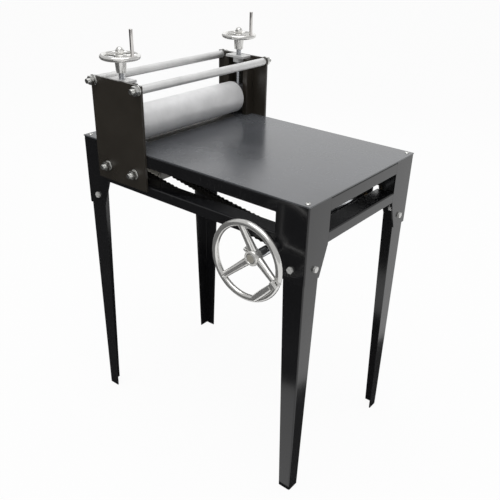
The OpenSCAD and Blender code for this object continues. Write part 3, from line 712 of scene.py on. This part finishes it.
class SlabRollerSizes(bpy.types.PropertyGroup):
    """Sizes of the details that the solids leave plain."""

    bend: length("Bend", 0.0008, "Inner radius of the folded sheets' bends")
    sheet: length("Sheet", 0.003, "Thickness of the folded sheets")
    sheet_edge: length("Sheet edge", 0.0004, "Easing of the cut sheet edges")
    plate_edge: length("Plate edge", 0.0006, "Easing of the thick plates' edges")
    roller_edge: length("Roller edge", 0.0015, "Rounding of the rollers' rims")
    stud_lead: length("Stud lead", 0.00175, "Lead of the threads on the side plates")
    bolt_lead: length("Bolt lead", 0.00125, "Lead of the leg bolts' threads")
    screw_lead: length("Screw lead", 0.003, "Lead of the pressure screws")
    pitch: length("Chain pitch", 0.0127, "Distance between two pins of the chain")
    links: count("Links", 78, "Links in the chain", 40, 120)
    teeth: count("Teeth", 10, "Teeth on each sprocket", 8, 24)
    slack: length("Chain slack", 0.0001, "How far the shafts are closer than a taut chain would hold them")


class SlabRollerColours(bpy.types.PropertyGroup):
    """Colours of the finishes."""

    stand: colour("Stand", (0.0075, 0.0075, 0.0085), "Gloss black paint of the stand")
    plates: colour("Side plates", (0.030, 0.0255, 0.0195), "Satin black paint of the side plates")
    table: colour("Table", (0.082, 0.086, 0.094), "Charcoal paint of the table")
    roller: colour("Upper roller", (0.82, 0.82, 0.825), "Turned steel of the upper roller")
    # The lower roller's dark tone is painted shade: it stands in for the shadow in the nip under the upper
    # roller.
    lower: colour("Lower roller", (0.17, 0.165, 0.155), "Turned steel of the lower roller")
    # The pale end discs are painted light: they stand in for light on end faces that lie in shade.
    lower_ends_painted_light: colour("Lower roller's ends", (0.66, 0.63, 0.56), "End discs of the lower roller")
    zinc: colour("Zinc", (0.70, 0.70, 0.68), "Plating of the nuts, bolts and washers")
    steel: colour("Plain steel", (0.74, 0.74, 0.735), "Tie tubes and bridge plates")
    shaft: colour("Shafts", (0.60, 0.61, 0.63), "Ground bars and collar")
    shaft_ends: colour("Shaft ends", (0.36, 0.345, 0.30), "Sawn ends of the ground bars")
    chain: colour("Chain", (0.060, 0.056, 0.050), "Oiled chain and sprockets")
    rods: colour("Rods", (0.62, 0.60, 0.58), "Upright rods on the small handwheels")
    chrome: colour("Chrome", (0.74, 0.735, 0.715), "Polished plating of the handwheels")
    hub_face: colour("Hub face", (0.66, 0.65, 0.62), "Faced front of the crank's hub")
    casting: colour("Castings", (0.055, 0.056, 0.060), "Bearings and blocks")
    bronze: colour("Bronze", (0.24, 0.165, 0.085), "Plain bushes")


class SlabRollerStage(bpy.types.PropertyGroup):
    """Light and floor."""

    floor: length("Floor", 60.0, "Width of the floor")
    key: power("Key", 34.0, "Power of the overhead softbox")
    back: power("Back", 13.0, "Power of the softbox behind")
    wall: strength("Wall", 0.5, "Strength of the light from the walls")
    ceiling: strength("Ceiling", 0.6, "Strength of the light from above")


FINISHES = {}


def finishes(colours):
    """Makes every material once; the triples stretch the tool lines along X, Y and Z."""
    c = colours
    on_lathe, even = (14.0, 1500.0, 14.0), (220.0, 220.0, 220.0)
    faint, fainter = 0.00001, 0.000004
    FINISHES.update(
        stand=paint("gloss_black_paint", c.stand, rough=0.15, peel=1.0, coat=0.05, scuff=0.35),
        plates=paint("satin_black_paint", c.plates, rough=0.30, peel=1.6, coat=0.0, scuff=0.25),
        table=paint("charcoal_paint", c.table, rough=0.24, peel=1.2, coat=0.20, scuff=0.10),
        roller=metal("turned_roller_steel", c.roller, on_lathe, rough=0.46, stain=0.10, shine=0.35),
        # Lower roller: its dark tone paints the shade in the nip, and its pale ends paint light on end
        # faces that lie in shade.
        lower=metal("lower_roller_steel", c.lower, on_lathe, rough=0.46, stain=0.15, shine=0.2,
                    ends=c.lower_ends_painted_light),
        zinc=metal("bright_zinc", c.zinc, even, rough=0.24, stain=0.2),
        bolts=metal("dull_zinc", c.zinc, even, rough=0.34, stain=0.2, shine=0.35),
        steel=metal("plain_steel", c.steel, (500.0, 14.0, 500.0), rough=0.44, stain=0.15, shine=0.45),
        shaft=metal("ground_shaft_steel", c.shaft, (20.0, 1300.0, 20.0), rough=0.16, stain=0.2, depth=faint,
                    ends=c.shaft_ends),
        chain=metal("oiled_chain_steel", c.chain, (260.0, 260.0, 260.0), rough=0.34, stain=0.5),
        rods=metal("drawn_rod_steel", c.rods, (700.0, 700.0, 16.0), rough=0.10, stain=0.2, depth=faint),
        chrome=metal("polished_chrome", c.chrome, (60.0, 60.0, 60.0), rough=0.17, stain=0.05, depth=fainter,
                     shine=0.8, ends=c.hub_face),
        casting=casting("painted_casting", c.casting, rough=0.5),
        bronze=metal("bearing_bronze", c.bronze, (40.0, 1200.0, 40.0), rough=0.33, stain=0.3),
    )


SLOTS = {
    "stand": "black_gloss", "plates": "black_satin", "table": "table_grey", "roller": "roller_steel",
    "lower": "lower_roller_steel", "zinc": "zinc", "bolts": "zinc", "steel": "plain_steel",
    "shaft": "shaft_steel", "chain": "chain_steel", "rods": "rod_steel", "chrome": "chrome",
    "casting": "cast_grey", "bronze": "bronze",
}
BODY = {n: b for b, nodes in frame["record"]["behaviour"]["bodies"].items() for n in nodes}


def put(obj, finish, *nodes):
    """Places a piece on its first node's body, in place of its nodes."""
    return placed(obj, BODY[nodes[0]], SLOTS[finish], *nodes)


def ease_all(nodes, finish, width, bend=0.0, thick=0.0):
    for node in nodes:
        put(eased(node, FINISHES[finish], width, bend, thick), finish, node)


def put_mesh(node, finish, bm):
    """Piece from a mesh in place of a node."""
    put(from_bmesh(node + "_look", joined(bm), FINISHES[finish]), finish, node)


def put_turned(node, finish, bodies, sides=64, marked=False):
    """Piece of turned bodies in place of a node."""
    piece = turned(node + "_look", FINISHES[finish], bodies, sides)
    put(ends_marked(piece) if marked else piece, finish, node)


def spread_on(node, shape, finish, pairs, **sizes):
    """Repeated shape on pairs of a point and an aim."""
    points, aims = aimed(pairs)
    return grown(node + "_look", shape, FINISHES[finish], points, aims, **sizes)


def put_grown(node, shape, finish, pairs, **sizes):
    """Repeated shape in place of a node."""
    put(spread_on(node, shape, finish, pairs, **sizes), finish, node)


# Places that the repeated pieces share

PLATE_OUT = 6 * MM
WASHER = 2.5 * MM
STUD = 12 * MM
NUT = 0.8 * STUD
STUD_END = 27.1 * MM
ROLLER_X, TIE_X, BEARING_X = 137, 71.5, 45
TIE_Z, BEARING_Z, LEG_BOLT_Z = 891, 696, 604


def on_plate(x, z):
    """Two places on the front side plate's inner face, left and right of the rollers."""
    return [at(ROLLER_X + side * x, 0, z) for side in (-1, 1)]


def tie_places():
    """Where the tie tubes leave the front side plate's inner face."""
    return on_plate(TIE_X, TIE_Z)


def both_plates(places):
    """The places on the front plate and on the back plate, with the way out of each."""
    return [(p, -Y) for p in places] + [(to_back(p), Y) for p in places]


def plate_places():
    """Where rods and bolts leave the side plates, with the way they point out."""
    return both_plates(tie_places() + on_plate(BEARING_X, BEARING_Z))


def leg_places():
    """Where the leg bolts enter the posts, with the way they point in."""
    low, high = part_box("table_top")
    inset = 35 * MM
    places = []
    for x, x_in in ((low.x, X), (high.x, -X)):
        for y, y_in in ((low.y, Y), (high.y, -Y)):
            corner = Vector((x, y, LEG_BOLT_Z * MM))
            places += [(corner + x_in * inset, y_in), (corner + y_in * inset, x_in)]
    return places


class Piece:
    """What the operators share."""

    bl_options = {"REGISTER", "UNDO"}

    def execute(self, context):
        self.build(context.scene.slab_roller_sizes)
        return {"FINISHED"}


class SLABROLLER_OT_stand(Piece, bpy.types.Operator):
    """Rails, posts and legs folded from sheet, and the plates that hang the drive shaft"""

    bl_idname = "slab_roller.stand"
    bl_label = "Stand"

    def build(self, sizes):
        sides = ("front", "back", "left", "right")
        rails = [f"{side}_{level}_rail" for side in sides for level in ("upper", "lower")]
        posts = [f"{a}_{b}_{kind}" for a in sides[:2] for b in sides[2:] for kind in ("post", "leg")]
        ease_all(rails + posts, "stand", sizes.sheet_edge, sizes.bend, sizes.sheet)
        ease_all(["front_shaft_hanger", "back_shaft_hanger"], "stand", sizes.plate_edge)


class SLABROLLER_OT_table(Piece, bpy.types.Operator):
    """Table sheet and its corner screws"""

    bl_idname = "slab_roller.table"
    bl_label = "Table"

    def build(self, sizes):
        ease_all(["table_top"], "table", sizes.sheet_edge)
        low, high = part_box("table_top")
        inset = 12 * MM
        places = [(Vector((x, y, high.z)), Z) for x in (low.x + inset, high.x - inset)
                  for y in (low.y + inset, high.y - inset)]
        put_grown("table_screws", button_shape(), "zinc", places,
                  head=10.8 * MM, height=3 * MM, width=6 * MM, length=6 * MM)


class SLABROLLER_OT_side_plates(Piece, bpy.types.Operator):
    """Side plates, tie tubes and threaded rods"""

    bl_idname = "slab_roller.side_plates"
    bl_label = "Side plates"

    def build(self, sizes):
        ease_all(["front_side_plate", "back_side_plate"], "plates", sizes.plate_edge)
        ends = tie_places()
        tube = tube_profile(TABLE_W, 9.5 * MM, 7 * MM, 0.5 * MM)
        put_turned("tie_tubes", "steel", [(p, Y, tube) for p in ends])
        threaded, overlap = 40 * MM, 10 * MM
        tips = both_plates([p + Y * (threaded - STUD_END) for p in ends])
        rods = spread_on("tie_rods", stud_shape(), "zinc", tips,
                         width=STUD, threaded=threaded, lead=sizes.stud_lead)
        plain = bar_profile(TABLE_W - 2 * overlap, STUD * 0.46, 0.5 * MM)
        with reopened(rods) as bm:
            for p in ends:
                lathe(bm, p + Y * overlap, Y, plain, 24)
            joined(bm)
        put(rods, "zinc", "tie_rods")


class SLABROLLER_OT_plate_fasteners(Piece, bpy.types.Operator):
    """Nuts and washers on the side plates, and the lower bearings' bolts"""

    bl_idname = "slab_roller.plate_fasteners"
    bl_label = "Plate fasteners"

    def build(self, sizes):
        places = plate_places()
        flats, flange, over_table = 1.6 * STUD, 10 * MM, 0.8
        seats = [(p + a * (PLATE_OUT + WASHER), a) for p, a in places]
        put_grown("plate_nuts", nut_shape(), "zinc", seats, flats=flats, height=NUT, bore=STUD)
        seats = [(p + a * PLATE_OUT, a) for p, a in places]
        put_grown("plate_washers", washer_shape(), "zinc", seats,
                  outer=2 * STUD, bore=STUD + 0.5 * MM, height=WASHER)
        seats = [(p - a * flange, a) for p, a in places if p.z < over_table]
        put_grown("bearing_bolts", bolt_shape(), "zinc", seats, flats=flats, head=0.65 * STUD,
                  width=STUD, length=STUD_END + flange, threaded=26 * MM, lead=sizes.stud_lead)


class SLABROLLER_OT_leg_fasteners(Piece, bpy.types.Operator):
    """Bolts and nuts that join the legs to the posts"""

    bl_idname = "slab_roller.leg_fasteners"
    bl_label = "Leg fasteners"

    def build(self, sizes):
        bolt = 8 * MM
        flats, nut, past = 1.6 * bolt, 0.8 * bolt, 2 * MM
        through = 2 * sizes.sheet
        places = leg_places()
        put_grown("leg_bolts", bolt_shape(), "bolts", places, flats=flats, head=0.65 * bolt, width=bolt,
                  length=through + nut + past, threaded=11 * MM, lead=sizes.bolt_lead)
        seats = [(p + a * through, a) for p, a in places]
        put_grown("leg_nuts", nut_shape(), "zinc", seats, flats=flats, height=nut, bore=bolt)


class SLABROLLER_OT_rollers(Piece, bpy.types.Operator):
    """Both rollers with their axles and end discs"""

    bl_idname = "slab_roller.rollers"
    bl_label = "Rollers"

    def build(self, sizes):
        wall, thick, loose = 6 * MM, 10 * MM, 0.02 * MM
        # The lower roller's finish paints shade on its crown and light on its marked end faces.
        for name, finish, journal in (("upper", "roller", 12.5 * MM), ("lower", "lower", 10 * MM)):
            start, span, radius = round_bar(name + "_roller", Y)
            tube = tube_profile(span, radius, radius - wall, sizes.roller_edge)
            put_turned(name + "_roller", finish, [(start, Y, tube)], 128, marked=True)
            near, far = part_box(name + "_axle")
            first = Vector((start.x, near.y, start.z))
            disc = bar_profile(thick, radius - wall - loose, 0.6 * MM)
            bodies = [(first, Y, bar_profile(far.y - near.y, journal, 1 * MM))]
            bodies += [(start + Y * way, Y, disc) for way in (0, span - thick)]
            put_turned(name + "_axle", finish, bodies, 96, marked=True)


class SLABROLLER_OT_bearings(Piece, bpy.types.Operator):
    """Bearings, blocks, bushes, guide bars and bridge plates"""

    bl_idname = "slab_roller.bearings"
    bl_label = "Bearings and bridges"

    def build(self, sizes):
        edge = sizes.plate_edge
        ease_all(["lower_bearings", "front_bearing_block", "back_bearing_block"], "casting", edge)
        ease_all(["front_bridge", "back_bridge", "bridge_nuts"], "steel", edge)
        ease_all(["guide_bars"], "plates", edge)
        ease_all(["shaft_bushes", "block_bushes"], "bronze", sizes.sheet_edge)


class SLABROLLER_OT_chain(Piece, bpy.types.Operator):
    """Closed roller chain round both sprockets"""

    bl_idname = "slab_roller.chain"
    bl_label = "Chain"

    def build(self, sizes):
        pitch, teeth = sizes.pitch, sizes.teeth
        run = (sizes.links - teeth) // 2
        radius = pitch / 2 / math.sin(math.pi / teeth)
        plane = CORNER.y + 56 * MM
        low, drive = middle("lower_axle"), middle("drive_shaft")
        slope = math.atan2(drive.z - low.z, drive.x - low.x)
        up, step = slope + math.pi / 2, TURN / teeth
        on = math.asin(sizes.slack / radius)

        def on_circle(centre, turn):
            return Vector((centre.x + radius * math.cos(turn), plane, centre.z + radius * math.sin(turn)))

        pins = self.sagging(on_circle(low, up), on_circle(drive, up + on), run, pitch)
        pins += [on_circle(drive, up + on - step * i) for i in range(teeth // 2)]
        start, end = on_circle(drive, up + on + math.pi), on_circle(low, up + math.pi)
        pins += [start.lerp(end, i / run) for i in range(run)]
        pins += [on_circle(low, up + math.pi - step * i) for i in range(teeth // 2)]
        ways = [b - a for a, b in zip(pins, pins[1:] + pins[:1])]
        facts = {"slope": ("FLOAT", [math.atan2(w.z, w.x) for w in ways]),
                 "kind": ("FLOAT", [i % 2 for i in range(len(pins))])}
        chain = grown("drive_chain_look", chain_shape(), FINISHES["chain"], pins, facts, pitch=pitch,
                      inner_height=11.8 * MM, outer_height=10.6 * MM, plate=1.5 * MM, inside=7.8 * MM,
                      roller=8.5 * MM, pin=4.4 * MM, waist=0.34)
        put(chain, "chain", "chain_inner_links", "chain_outer_links")
        ease_all(["drive_sprocket", "driven_sprocket"], "chain", sizes.sheet_edge)

    def sagging(self, start, end, run, pitch):
        """Pins of a run that is a little longer than its chord: its links turn by even steps."""
        chord = end - start
        turn = math.sqrt(24 * (1 - chord.length / (run * pitch)) / (run ** 2 - 1))
        slope = math.atan2(chord.z, chord.x)
        pins = []
        for i in range(run):
            way = slope - (run - i) * turn / 2
            reach = pitch * math.sin(i * turn / 2) / math.sin(turn / 2)
            pins.append(start + Vector((math.cos(way), 0, math.sin(way))) * reach)
        return pins


class SLABROLLER_OT_drive_shaft(Piece, bpy.types.Operator):
    """Drive shaft and its collar"""

    bl_idname = "slab_roller.drive_shaft"
    bl_label = "Drive shaft"

    def build(self, sizes):
        radius, ease = 10 * MM, 1 * MM
        start, span, _ = round_bar("drive_shaft", Y)
        bar = bar_profile(span, radius, ease)
        put_turned("drive_shaft", "shaft", [(start, Y, bar)], marked=True)
        start, span, outer = round_bar("shaft_collar", Y)
        ring = tube_profile(span, outer, radius + 0.02 * MM, ease)
        put_turned("shaft_collar", "shaft", [(start, Y, ring)])


def rim_profile(radius, section, around):
    """Profile of a rim of round section; the first and last point meet."""
    turns = [TURN * k / around for k in range(around + 1)]
    return [(section * math.sin(turn), radius + section * math.cos(turn)) for turn in turns]


def flared(length, root, tip, swell, flare):
    """Profile of a tapered spoke that swells into its hub and its rim."""
    steps = 18
    points = []
    for i in range(steps + 1):
        t = i / steps
        radius = root + (tip - root) * t
        rise = math.exp(-t * length / flare) + math.exp(-(1 - t) * length / flare)
        points.append((length * t, radius + swell * rise))
    return [(0.0, 0.0)] + points + [(length, 0.0)]


class SLABROLLER_OT_crank(Piece, bpy.types.Operator):
    """Crank handwheel, its lock screw and its folding handle"""

    bl_idname = "slab_roller.crank"
    bl_label = "Crank handwheel"

    def build(self, sizes):
        shaft = middle("drive_shaft")
        axle = Vector((shaft.x, CORNER.y, shaft.z))
        joint = next(j for j in frame["joints"] if j["name"] == "fold_handle")
        pivot = Vector(joint["pos_m"])
        out = -Vector(joint["axis"]).normalized()
        way = Y.cross(out).normalized()
        if (axle - pivot).dot(way) < 0:
            way = -way
        basis = Matrix((way, Y, out)).transposed().to_4x4()
        basis.translation = pivot
        hub_face, face_reach = -53 * MM, 15 * MM
        gap, ear = 4.3 * MM, 3 * MM
        bm = self.wheel(axle, hub_face)
        merged(bm, self.lug(pivot, out, basis, gap, ear))
        joined(bm)
        wheel = ends_marked(from_bmesh("handwheel_look", bm, FINISHES["chrome"]), axle, face_reach)
        put(wheel, "chrome", "handwheel")
        pin = bar_profile(2 * (gap + ear), 3 * MM, 0.5 * MM)
        put_turned("handle_pin", "shaft", [(pivot - out * (gap + ear), out, pin)], 32)
        self.handle(pivot, way, out, basis)
        self.lock(axle + Y * (hub_face + 10 * MM), self.spoke_way(146))

    def spoke_way(self, degrees):
        turn = math.radians(degrees)
        return Vector((math.cos(turn), 0, math.sin(turn)))

    def wheel(self, axle, hub_face):
        """Rim, three spokes that rise from the hub's back to the rim, and the turned hub."""
        rim_y, rim_r, rim, hub_back = -66 * MM, 80.5 * MM, 7 * MM, -33 * MM
        root_r, root_y = 6 * MM, hub_face + 15 * MM
        bm = bmesh.new()
        lathe(bm, axle + Y * rim_y, Y, rim_profile(rim_r, rim, 24), 128)
        for degrees in (102, 222, 342):
            out = self.spoke_way(degrees)
            root = axle + out * root_r + Y * root_y
            tip = axle + out * rim_r + Y * rim_y
            spoke = flared((tip - root).length, root=9.3 * MM, tip=6.6 * MM, swell=1.2 * MM, flare=6 * MM)
            lathe(bm, root, tip - root, spoke, 32)
        for v in bm.verts:
            v.co.y = min(v.co.y, axle.y + hub_back)
        hub = [(2.0, 10.02), (0.0, 11.4), (0.0, 14.8), (0.5, 15.6), (1.6, 16.5), (3.0, 17.0), (18.8, 17.0),
               (20.0, 15.9), (20.0, 10.02), (2.0, 10.02)]
        lathe(bm, axle + Y * hub_face, Y, millimetres(hub), 72)
        return bm

    def lug(self, pivot, out, basis, gap, ear):
        """Foot on the rim and two ears that hold the handle's pin."""
        half, foot, rim_back = 5.5 * MM, 6.5 * MM, 15.5 * MM
        sides = (gap, -gap - ear)
        blocks = [((-half, foot, -gap - ear), (half, rim_back, gap + ear))]
        blocks += [((-half, 0, low), (half, foot + 1 * MM, low + ear)) for low in sides]
        bm = bmesh.new()
        for low, high in blocks:
            for v in bmesh.ops.create_cube(bm, size=1.0)["verts"]:
                v.co = basis @ Vector([(a + b) / 2 + (b - a) * c for a, b, c in zip(low, high, v.co)])
        bevel(bm, sharp_edges(bm), 1.2 * MM, 3)
        for side in sides[::-1]:
            lathe(bm, pivot + out * side, out, bar_profile(ear, half, 0.6 * MM), 32)
        return bm

    def handle(self, pivot, way, out, basis):
        """Grip that swells from its neck, and the tang that the pin goes through."""
        grip, radius, steps, rounded = 57 * MM, 8 * MM, 28, 0.97
        points = [(0.0, 0.0)]
        for i in range(steps + 1):
            t = i / steps
            swell = 0.8 + 0.2 * math.sin(math.radians(150) * t)
            past = max(0.0, t - rounded) / (1 - rounded)
            close = 0.72 + 0.28 * math.sqrt(max(0.0, 1 - past ** 2))
            points.append((grip * t, radius * swell * close))
        points.append((grip, 0.0))
        tang = millimetres([(0.0, 0.0), (0.0, 4.7), (0.3, 5.0), (7.7, 5.0), (8.0, 4.7), (8.0, 0.0)])
        bodies = [(pivot + way * 9 * MM, way, points), (pivot - out * 4 * MM, out, tang)]
        handle = turned("folding_handle_look", FINISHES["chrome"], bodies, 48)
        neck = Vector((11, 9.6, 8)) * MM
        with reopened(handle) as bm:
            for v in bmesh.ops.create_cube(bm, size=1.0)["verts"]:
                v.co = basis @ Vector(((v.co.x + 0.5) * neck.x, v.co.y * neck.y, v.co.z * neck.z))
        put(handle, "chrome", "folding_handle")

    def lock(self, seat, out):
        """Lock screw with a knurled knob beyond the hub."""
        knob_at = 19.0
        knob = [(10.0, 0.0), (10.02, 3.0), (knob_at, 3.0), (knob_at, 5.0), (19.7, 5.7), (25.3, 5.7),
                (26.0, 5.0), (26.0, 0.0)]
        bm = bmesh.new()

        def ridge(along_axis, turn):
            return 0.05 * math.cos(20 * turn) if along_axis > knob_at * MM else 0.0

        lathe(bm, seat, out, millimetres(knob), 80, ridge)
        put_mesh("wheel_lock_screw", "chrome", bm)


class SLABROLLER_OT_height_wheels(Piece, bpy.types.Operator):
    """Pressure screws with their small handwheels, rods and cap nuts"""

    bl_idname = "slab_roller.height_wheels"
    bl_label = "Height wheels"

    def build(self, sizes):
        rod_r, cap_z = 4 * MM, 953 * MM
        for side, hand in (("front", 1), ("back", -1)):
            start, span, radius = round_bar(side + "_pressure_screw", Z)
            foot = Vector((start.x, start.y, 0.0))
            put_mesh(side + "_height_wheel", "chrome", self.wheel(foot, hand))
            rod_start, rod_span, _ = round_bar(side + "_wheel_rod", Z)
            rod = bar_profile(rod_span, rod_r, 1.2 * MM)
            put_turned(side + "_wheel_rod", "rods", [(rod_start, Z, rod)], 40)
            self.cap(side + "_cap_nut", foot + Z * cap_z)
            put_mesh(side + "_pressure_screw", "shaft", self.screw(start, span, radius, sizes.screw_lead))

    def wheel(self, foot, hand):
        """Small handwheel with three spokes and a long tapered hub."""
        rim_z, rim_r, rim, hub_z = 949 * MM, 39.5 * MM, 5.5 * MM, 915 * MM
        bm = bmesh.new()
        lathe(bm, foot + Z * rim_z, Z, rim_profile(rim_r, rim, 20), 96)
        spoke = flared(rim_r, root=3.9 * MM, tip=3.6 * MM, swell=1.6 * MM, flare=4 * MM)
        for degrees in (60, 180, 300):
            turn = math.radians(degrees) * hand
            lathe(bm, foot + Z * rim_z, Vector((math.cos(turn), math.sin(turn), 0)), spoke, 24)
        hub = [(0, 7.02), (0, 10.4), (0.6, 11.0), (35.5, 13.75), (37.2, 13.9), (38, 13.0), (38, 7.02),
               (0, 7.02)]
        lathe(bm, foot + Z * hub_z, Z, millimetres(hub), 56)
        return bm

    def cap(self, node, seat):
        """Hexagon nut closed by a dome."""
        nut = spread_on(node, nut_shape(), "chrome", [(seat, Z)],
                        flats=17.3 * MM, height=10 * MM, bore=14 * MM)
        low, radius, steps = 8 * MM, 8.6 * MM, 12
        turns = [math.pi / 2 * k / steps for k in range(steps)]
        dome = [(low + radius * math.sin(turn), radius * math.cos(turn)) for turn in turns]
        with reopened(nut) as bm:
            lathe(bm, seat, Z, [(low, 0.0)] + dome + [(low + radius, 0.0)], 40)
        smoothed(nut.data)
        put(nut, "chrome", node)

    def screw(self, start, span, radius, lead):
        """Threaded bar from its foot to its top."""
        sides, steps = 32, 10
        rings = int(span / lead * steps)

        def ridge(along_axis, turn):
            wave = abs(((along_axis / lead - turn / TURN) % 1) * 2 - 1)
            return -0.2 * min(1.0, max(0.0, wave * 1.5 - 0.25))

        profile = [(span * i / rings, radius) for i in range(rings + 1)]
        bm = bmesh.new()
        lathe(bm, start, Z, [(0.0, 0.0)] + profile + [(span, 0.0)], sides, ridge)
        return bm


class SLABROLLER_OT_stage(bpy.types.Operator):
    """Floor, soft light and the camera"""

    bl_idname = "slab_roller.stage"
    bl_label = "Stage"

    def execute(self, context):
        stage = context.scene.slab_roller_stage
        self.floor(stage)
        # Cards seen only in reflections: painted dark reflections and a painted shadow of the object on the
        # floor.
        self.painted_reflection_card()
        self.world(context.scene, stage)
        self.light("key_softbox", stage.key, place=(0.2, -0.5, 2.9), target=(0, 0, 0.75), size=(2.2, 2.2))
        self.light("back_softbox", stage.back, place=(-1.2, 2.5, 1.85), target=(0.1, 0, 0.75),
                   size=(3.6, 1.8))
        self.camera(context.scene)
        context.scene.view_settings.view_transform = "Standard"
        return {"FINISHED"}

    def rays(self, f, *kinds):
        """1 for rays of these kinds."""
        path = f.add("ShaderNodeLightPath").socket.node
        share = Value(f, path.outputs[kinds[0]])
        for kind in kinds[1:]:
            share = share.most(Value(f, path.outputs[kind]))
        return share

    def floor(self, stage):
        bm = bmesh.new()
        bmesh.ops.create_grid(bm, x_segments=1, y_segments=1, size=stage.floor / 2)
        f = Finish("pale_floor")
        soft = f.add("ShaderNodeBsdfDiffuse", inputs={"Color": (0.86, 0.86, 0.86, 1)})
        white = f.add("ShaderNodeEmission", inputs={"Color": (1, 1, 1, 1), "Strength": 1.0})
        share = self.rays(f, "Is Camera Ray", "Is Glossy Ray", "Is Transmission Ray") * 0.94
        both = f.add("ShaderNodeMixShader", inputs={0: share, 1: soft, 2: white})
        f.add("ShaderNodeOutputMaterial", inputs={"Surface": both})
        from_bmesh("floor", bm, f.material)

    def painted_reflection_card(self):
        """Black cards on the floor and upright at the front left, seen only in the gloss of the object:
        painted dark reflections, whose floor outline also paints the object's shadow on the floor under and
        right of it.
        """
        bm = bmesh.new()
        left, front, right, back = -2.8, -2.6, 0.75, 0.6
        low, high, front_end = 0.001, 1.3, 0.3
        # The outline covers the floor under and right of the object: a painted shadow of the object, seen
        # only in reflections.
        outline = [(left, back), (left, front), (right, front), (0.5, -0.62), (-0.3, -0.4), (-0.3, -0.19),
                   (0.42, -0.19), (0.56, 0.05), (0.46, back)]
        bm.faces.new([bm.verts.new((x, y, low)) for x, y in outline])
        for ends in (((left, back), (left, front)), ((left, front), (front_end, front))):
            corners = [(x, y, z) for (x, y), z in zip(ends + ends[::-1], (low, low, high, high))]
            bm.faces.new([bm.verts.new(c) for c in corners])
        f = Finish("black_card")
        f.end(f.mix(f.span(f.noise(3.0), 0.3, 0.7), (0.05, 0.05, 0.05), (0.07, 0.07, 0.07)), 0.8, 0.0)
        card = from_bmesh("painted_reflection_card", bm, f.material)
        # Hidden from the camera, diffuse light and shadows, so the card is only a painted reflection.
        card.visible_camera = card.visible_diffuse = card.visible_shadow = card.visible_transmission = False

    def world(self, scene, stage):
        world = bpy.data.worlds.new("studio")
        world.use_nodes = True
        scene.world = world
        f = Tree(world.node_tree)
        world.node_tree.nodes.clear()
        way = f.add("ShaderNodeTexCoord", out=0)
        height = f.add("ShaderNodeSeparateXYZ", inputs={0: way}, out=2).most(0.0)
        room = height * (stage.ceiling - stage.wall) + stage.wall
        share = self.rays(f, "Is Camera Ray", "Is Transmission Ray")
        strength = room + share * (1 - room)
        light = f.add("ShaderNodeBackground", inputs={"Color": (1, 1, 1, 1), "Strength": strength})
        f.add("ShaderNodeOutputWorld", inputs={"Surface": light})

    def light(self, name, power, place, target, size):
        lamp = bpy.data.lights.new(name, "AREA")
        lamp.shape, lamp.size, lamp.size_y, lamp.energy = "RECTANGLE", size[0], size[1], power
        obj = bpy.data.objects.new(name, lamp)
        obj.location = place
        obj.rotation_euler = (Vector(target) - Vector(place)).to_track_quat("-Z", "Y").to_euler()
        obj.visible_camera = False
        bpy.context.scene.collection.objects.link(obj)

    def camera(self, scene):
        azimuth, elevation, roll = (math.radians(d) for d in (37.52, 29.14, 1.81))
        level = Vector((math.sin(azimuth), -math.cos(azimuth), 0))
        back = level * math.cos(elevation) + Z * math.sin(elevation)
        across = (-back).cross(Z).normalized()
        above = across.cross(-back)
        right = across * math.cos(roll) + above * math.sin(roll)
        up = above * math.cos(roll) - across * math.sin(roll)
        data = bpy.data.cameras.new("photo_camera")
        data.sensor_width, data.lens = 36.0, 46.72
        data.shift_x, data.shift_y = -0.01513, 0.04458
        data.clip_end = 60.0
        camera = bpy.data.objects.new("photo_camera", data)
        pose = Matrix((right, up, back)).transposed().to_4x4()
        pose.translation = at(1268.21, -945.96, 1233.22)
        camera.matrix_world = pose
        scene.collection.objects.link(camera)
        scene.camera = camera


OPERATORS = (
    SLABROLLER_OT_stand, SLABROLLER_OT_table, SLABROLLER_OT_side_plates, SLABROLLER_OT_plate_fasteners,
    SLABROLLER_OT_leg_fasteners, SLABROLLER_OT_rollers, SLABROLLER_OT_bearings, SLABROLLER_OT_chain,
    SLABROLLER_OT_drive_shaft, SLABROLLER_OT_crank, SLABROLLER_OT_height_wheels, SLABROLLER_OT_stage,
)


class SLABROLLER_PT_pieces(bpy.types.Panel):
    """Lists the pieces in the sidebar"""

    bl_label = "Slab Roller"
    bl_space_type = "VIEW_3D"
    bl_region_type = "UI"
    bl_category = "Slab Roller"

    def draw(self, context):
        for group in ("sizes", "colours", "stage"):
            box = self.layout.box()
            settings = getattr(context.scene, "slab_roller_" + group)
            for name in settings.__annotations__:
                box.prop(settings, name)
        for operator in OPERATORS:
            self.layout.operator(operator.bl_idname)


GROUPS = {"sizes": SlabRollerSizes, "colours": SlabRollerColours, "stage": SlabRollerStage}
CLASSES = (*GROUPS.values(), *OPERATORS, SLABROLLER_PT_pieces)


def register():
    for cls in CLASSES:
        bpy.utils.register_class(cls)
    for name, group in GROUPS.items():
        setattr(bpy.types.Scene, "slab_roller_" + name, PointerProperty(type=group))


def unregister():
    for name in GROUPS:
        delattr(bpy.types.Scene, "slab_roller_" + name)
    for cls in reversed(CLASSES):
        bpy.utils.unregister_class(cls)


def main():
    register()
    finishes(bpy.context.scene.slab_roller_colours)
    for operator in OPERATORS:
        group, name = operator.bl_idname.split(".")
        getattr(getattr(bpy.ops, group), name)()


if __name__ == "__main__":
    main()
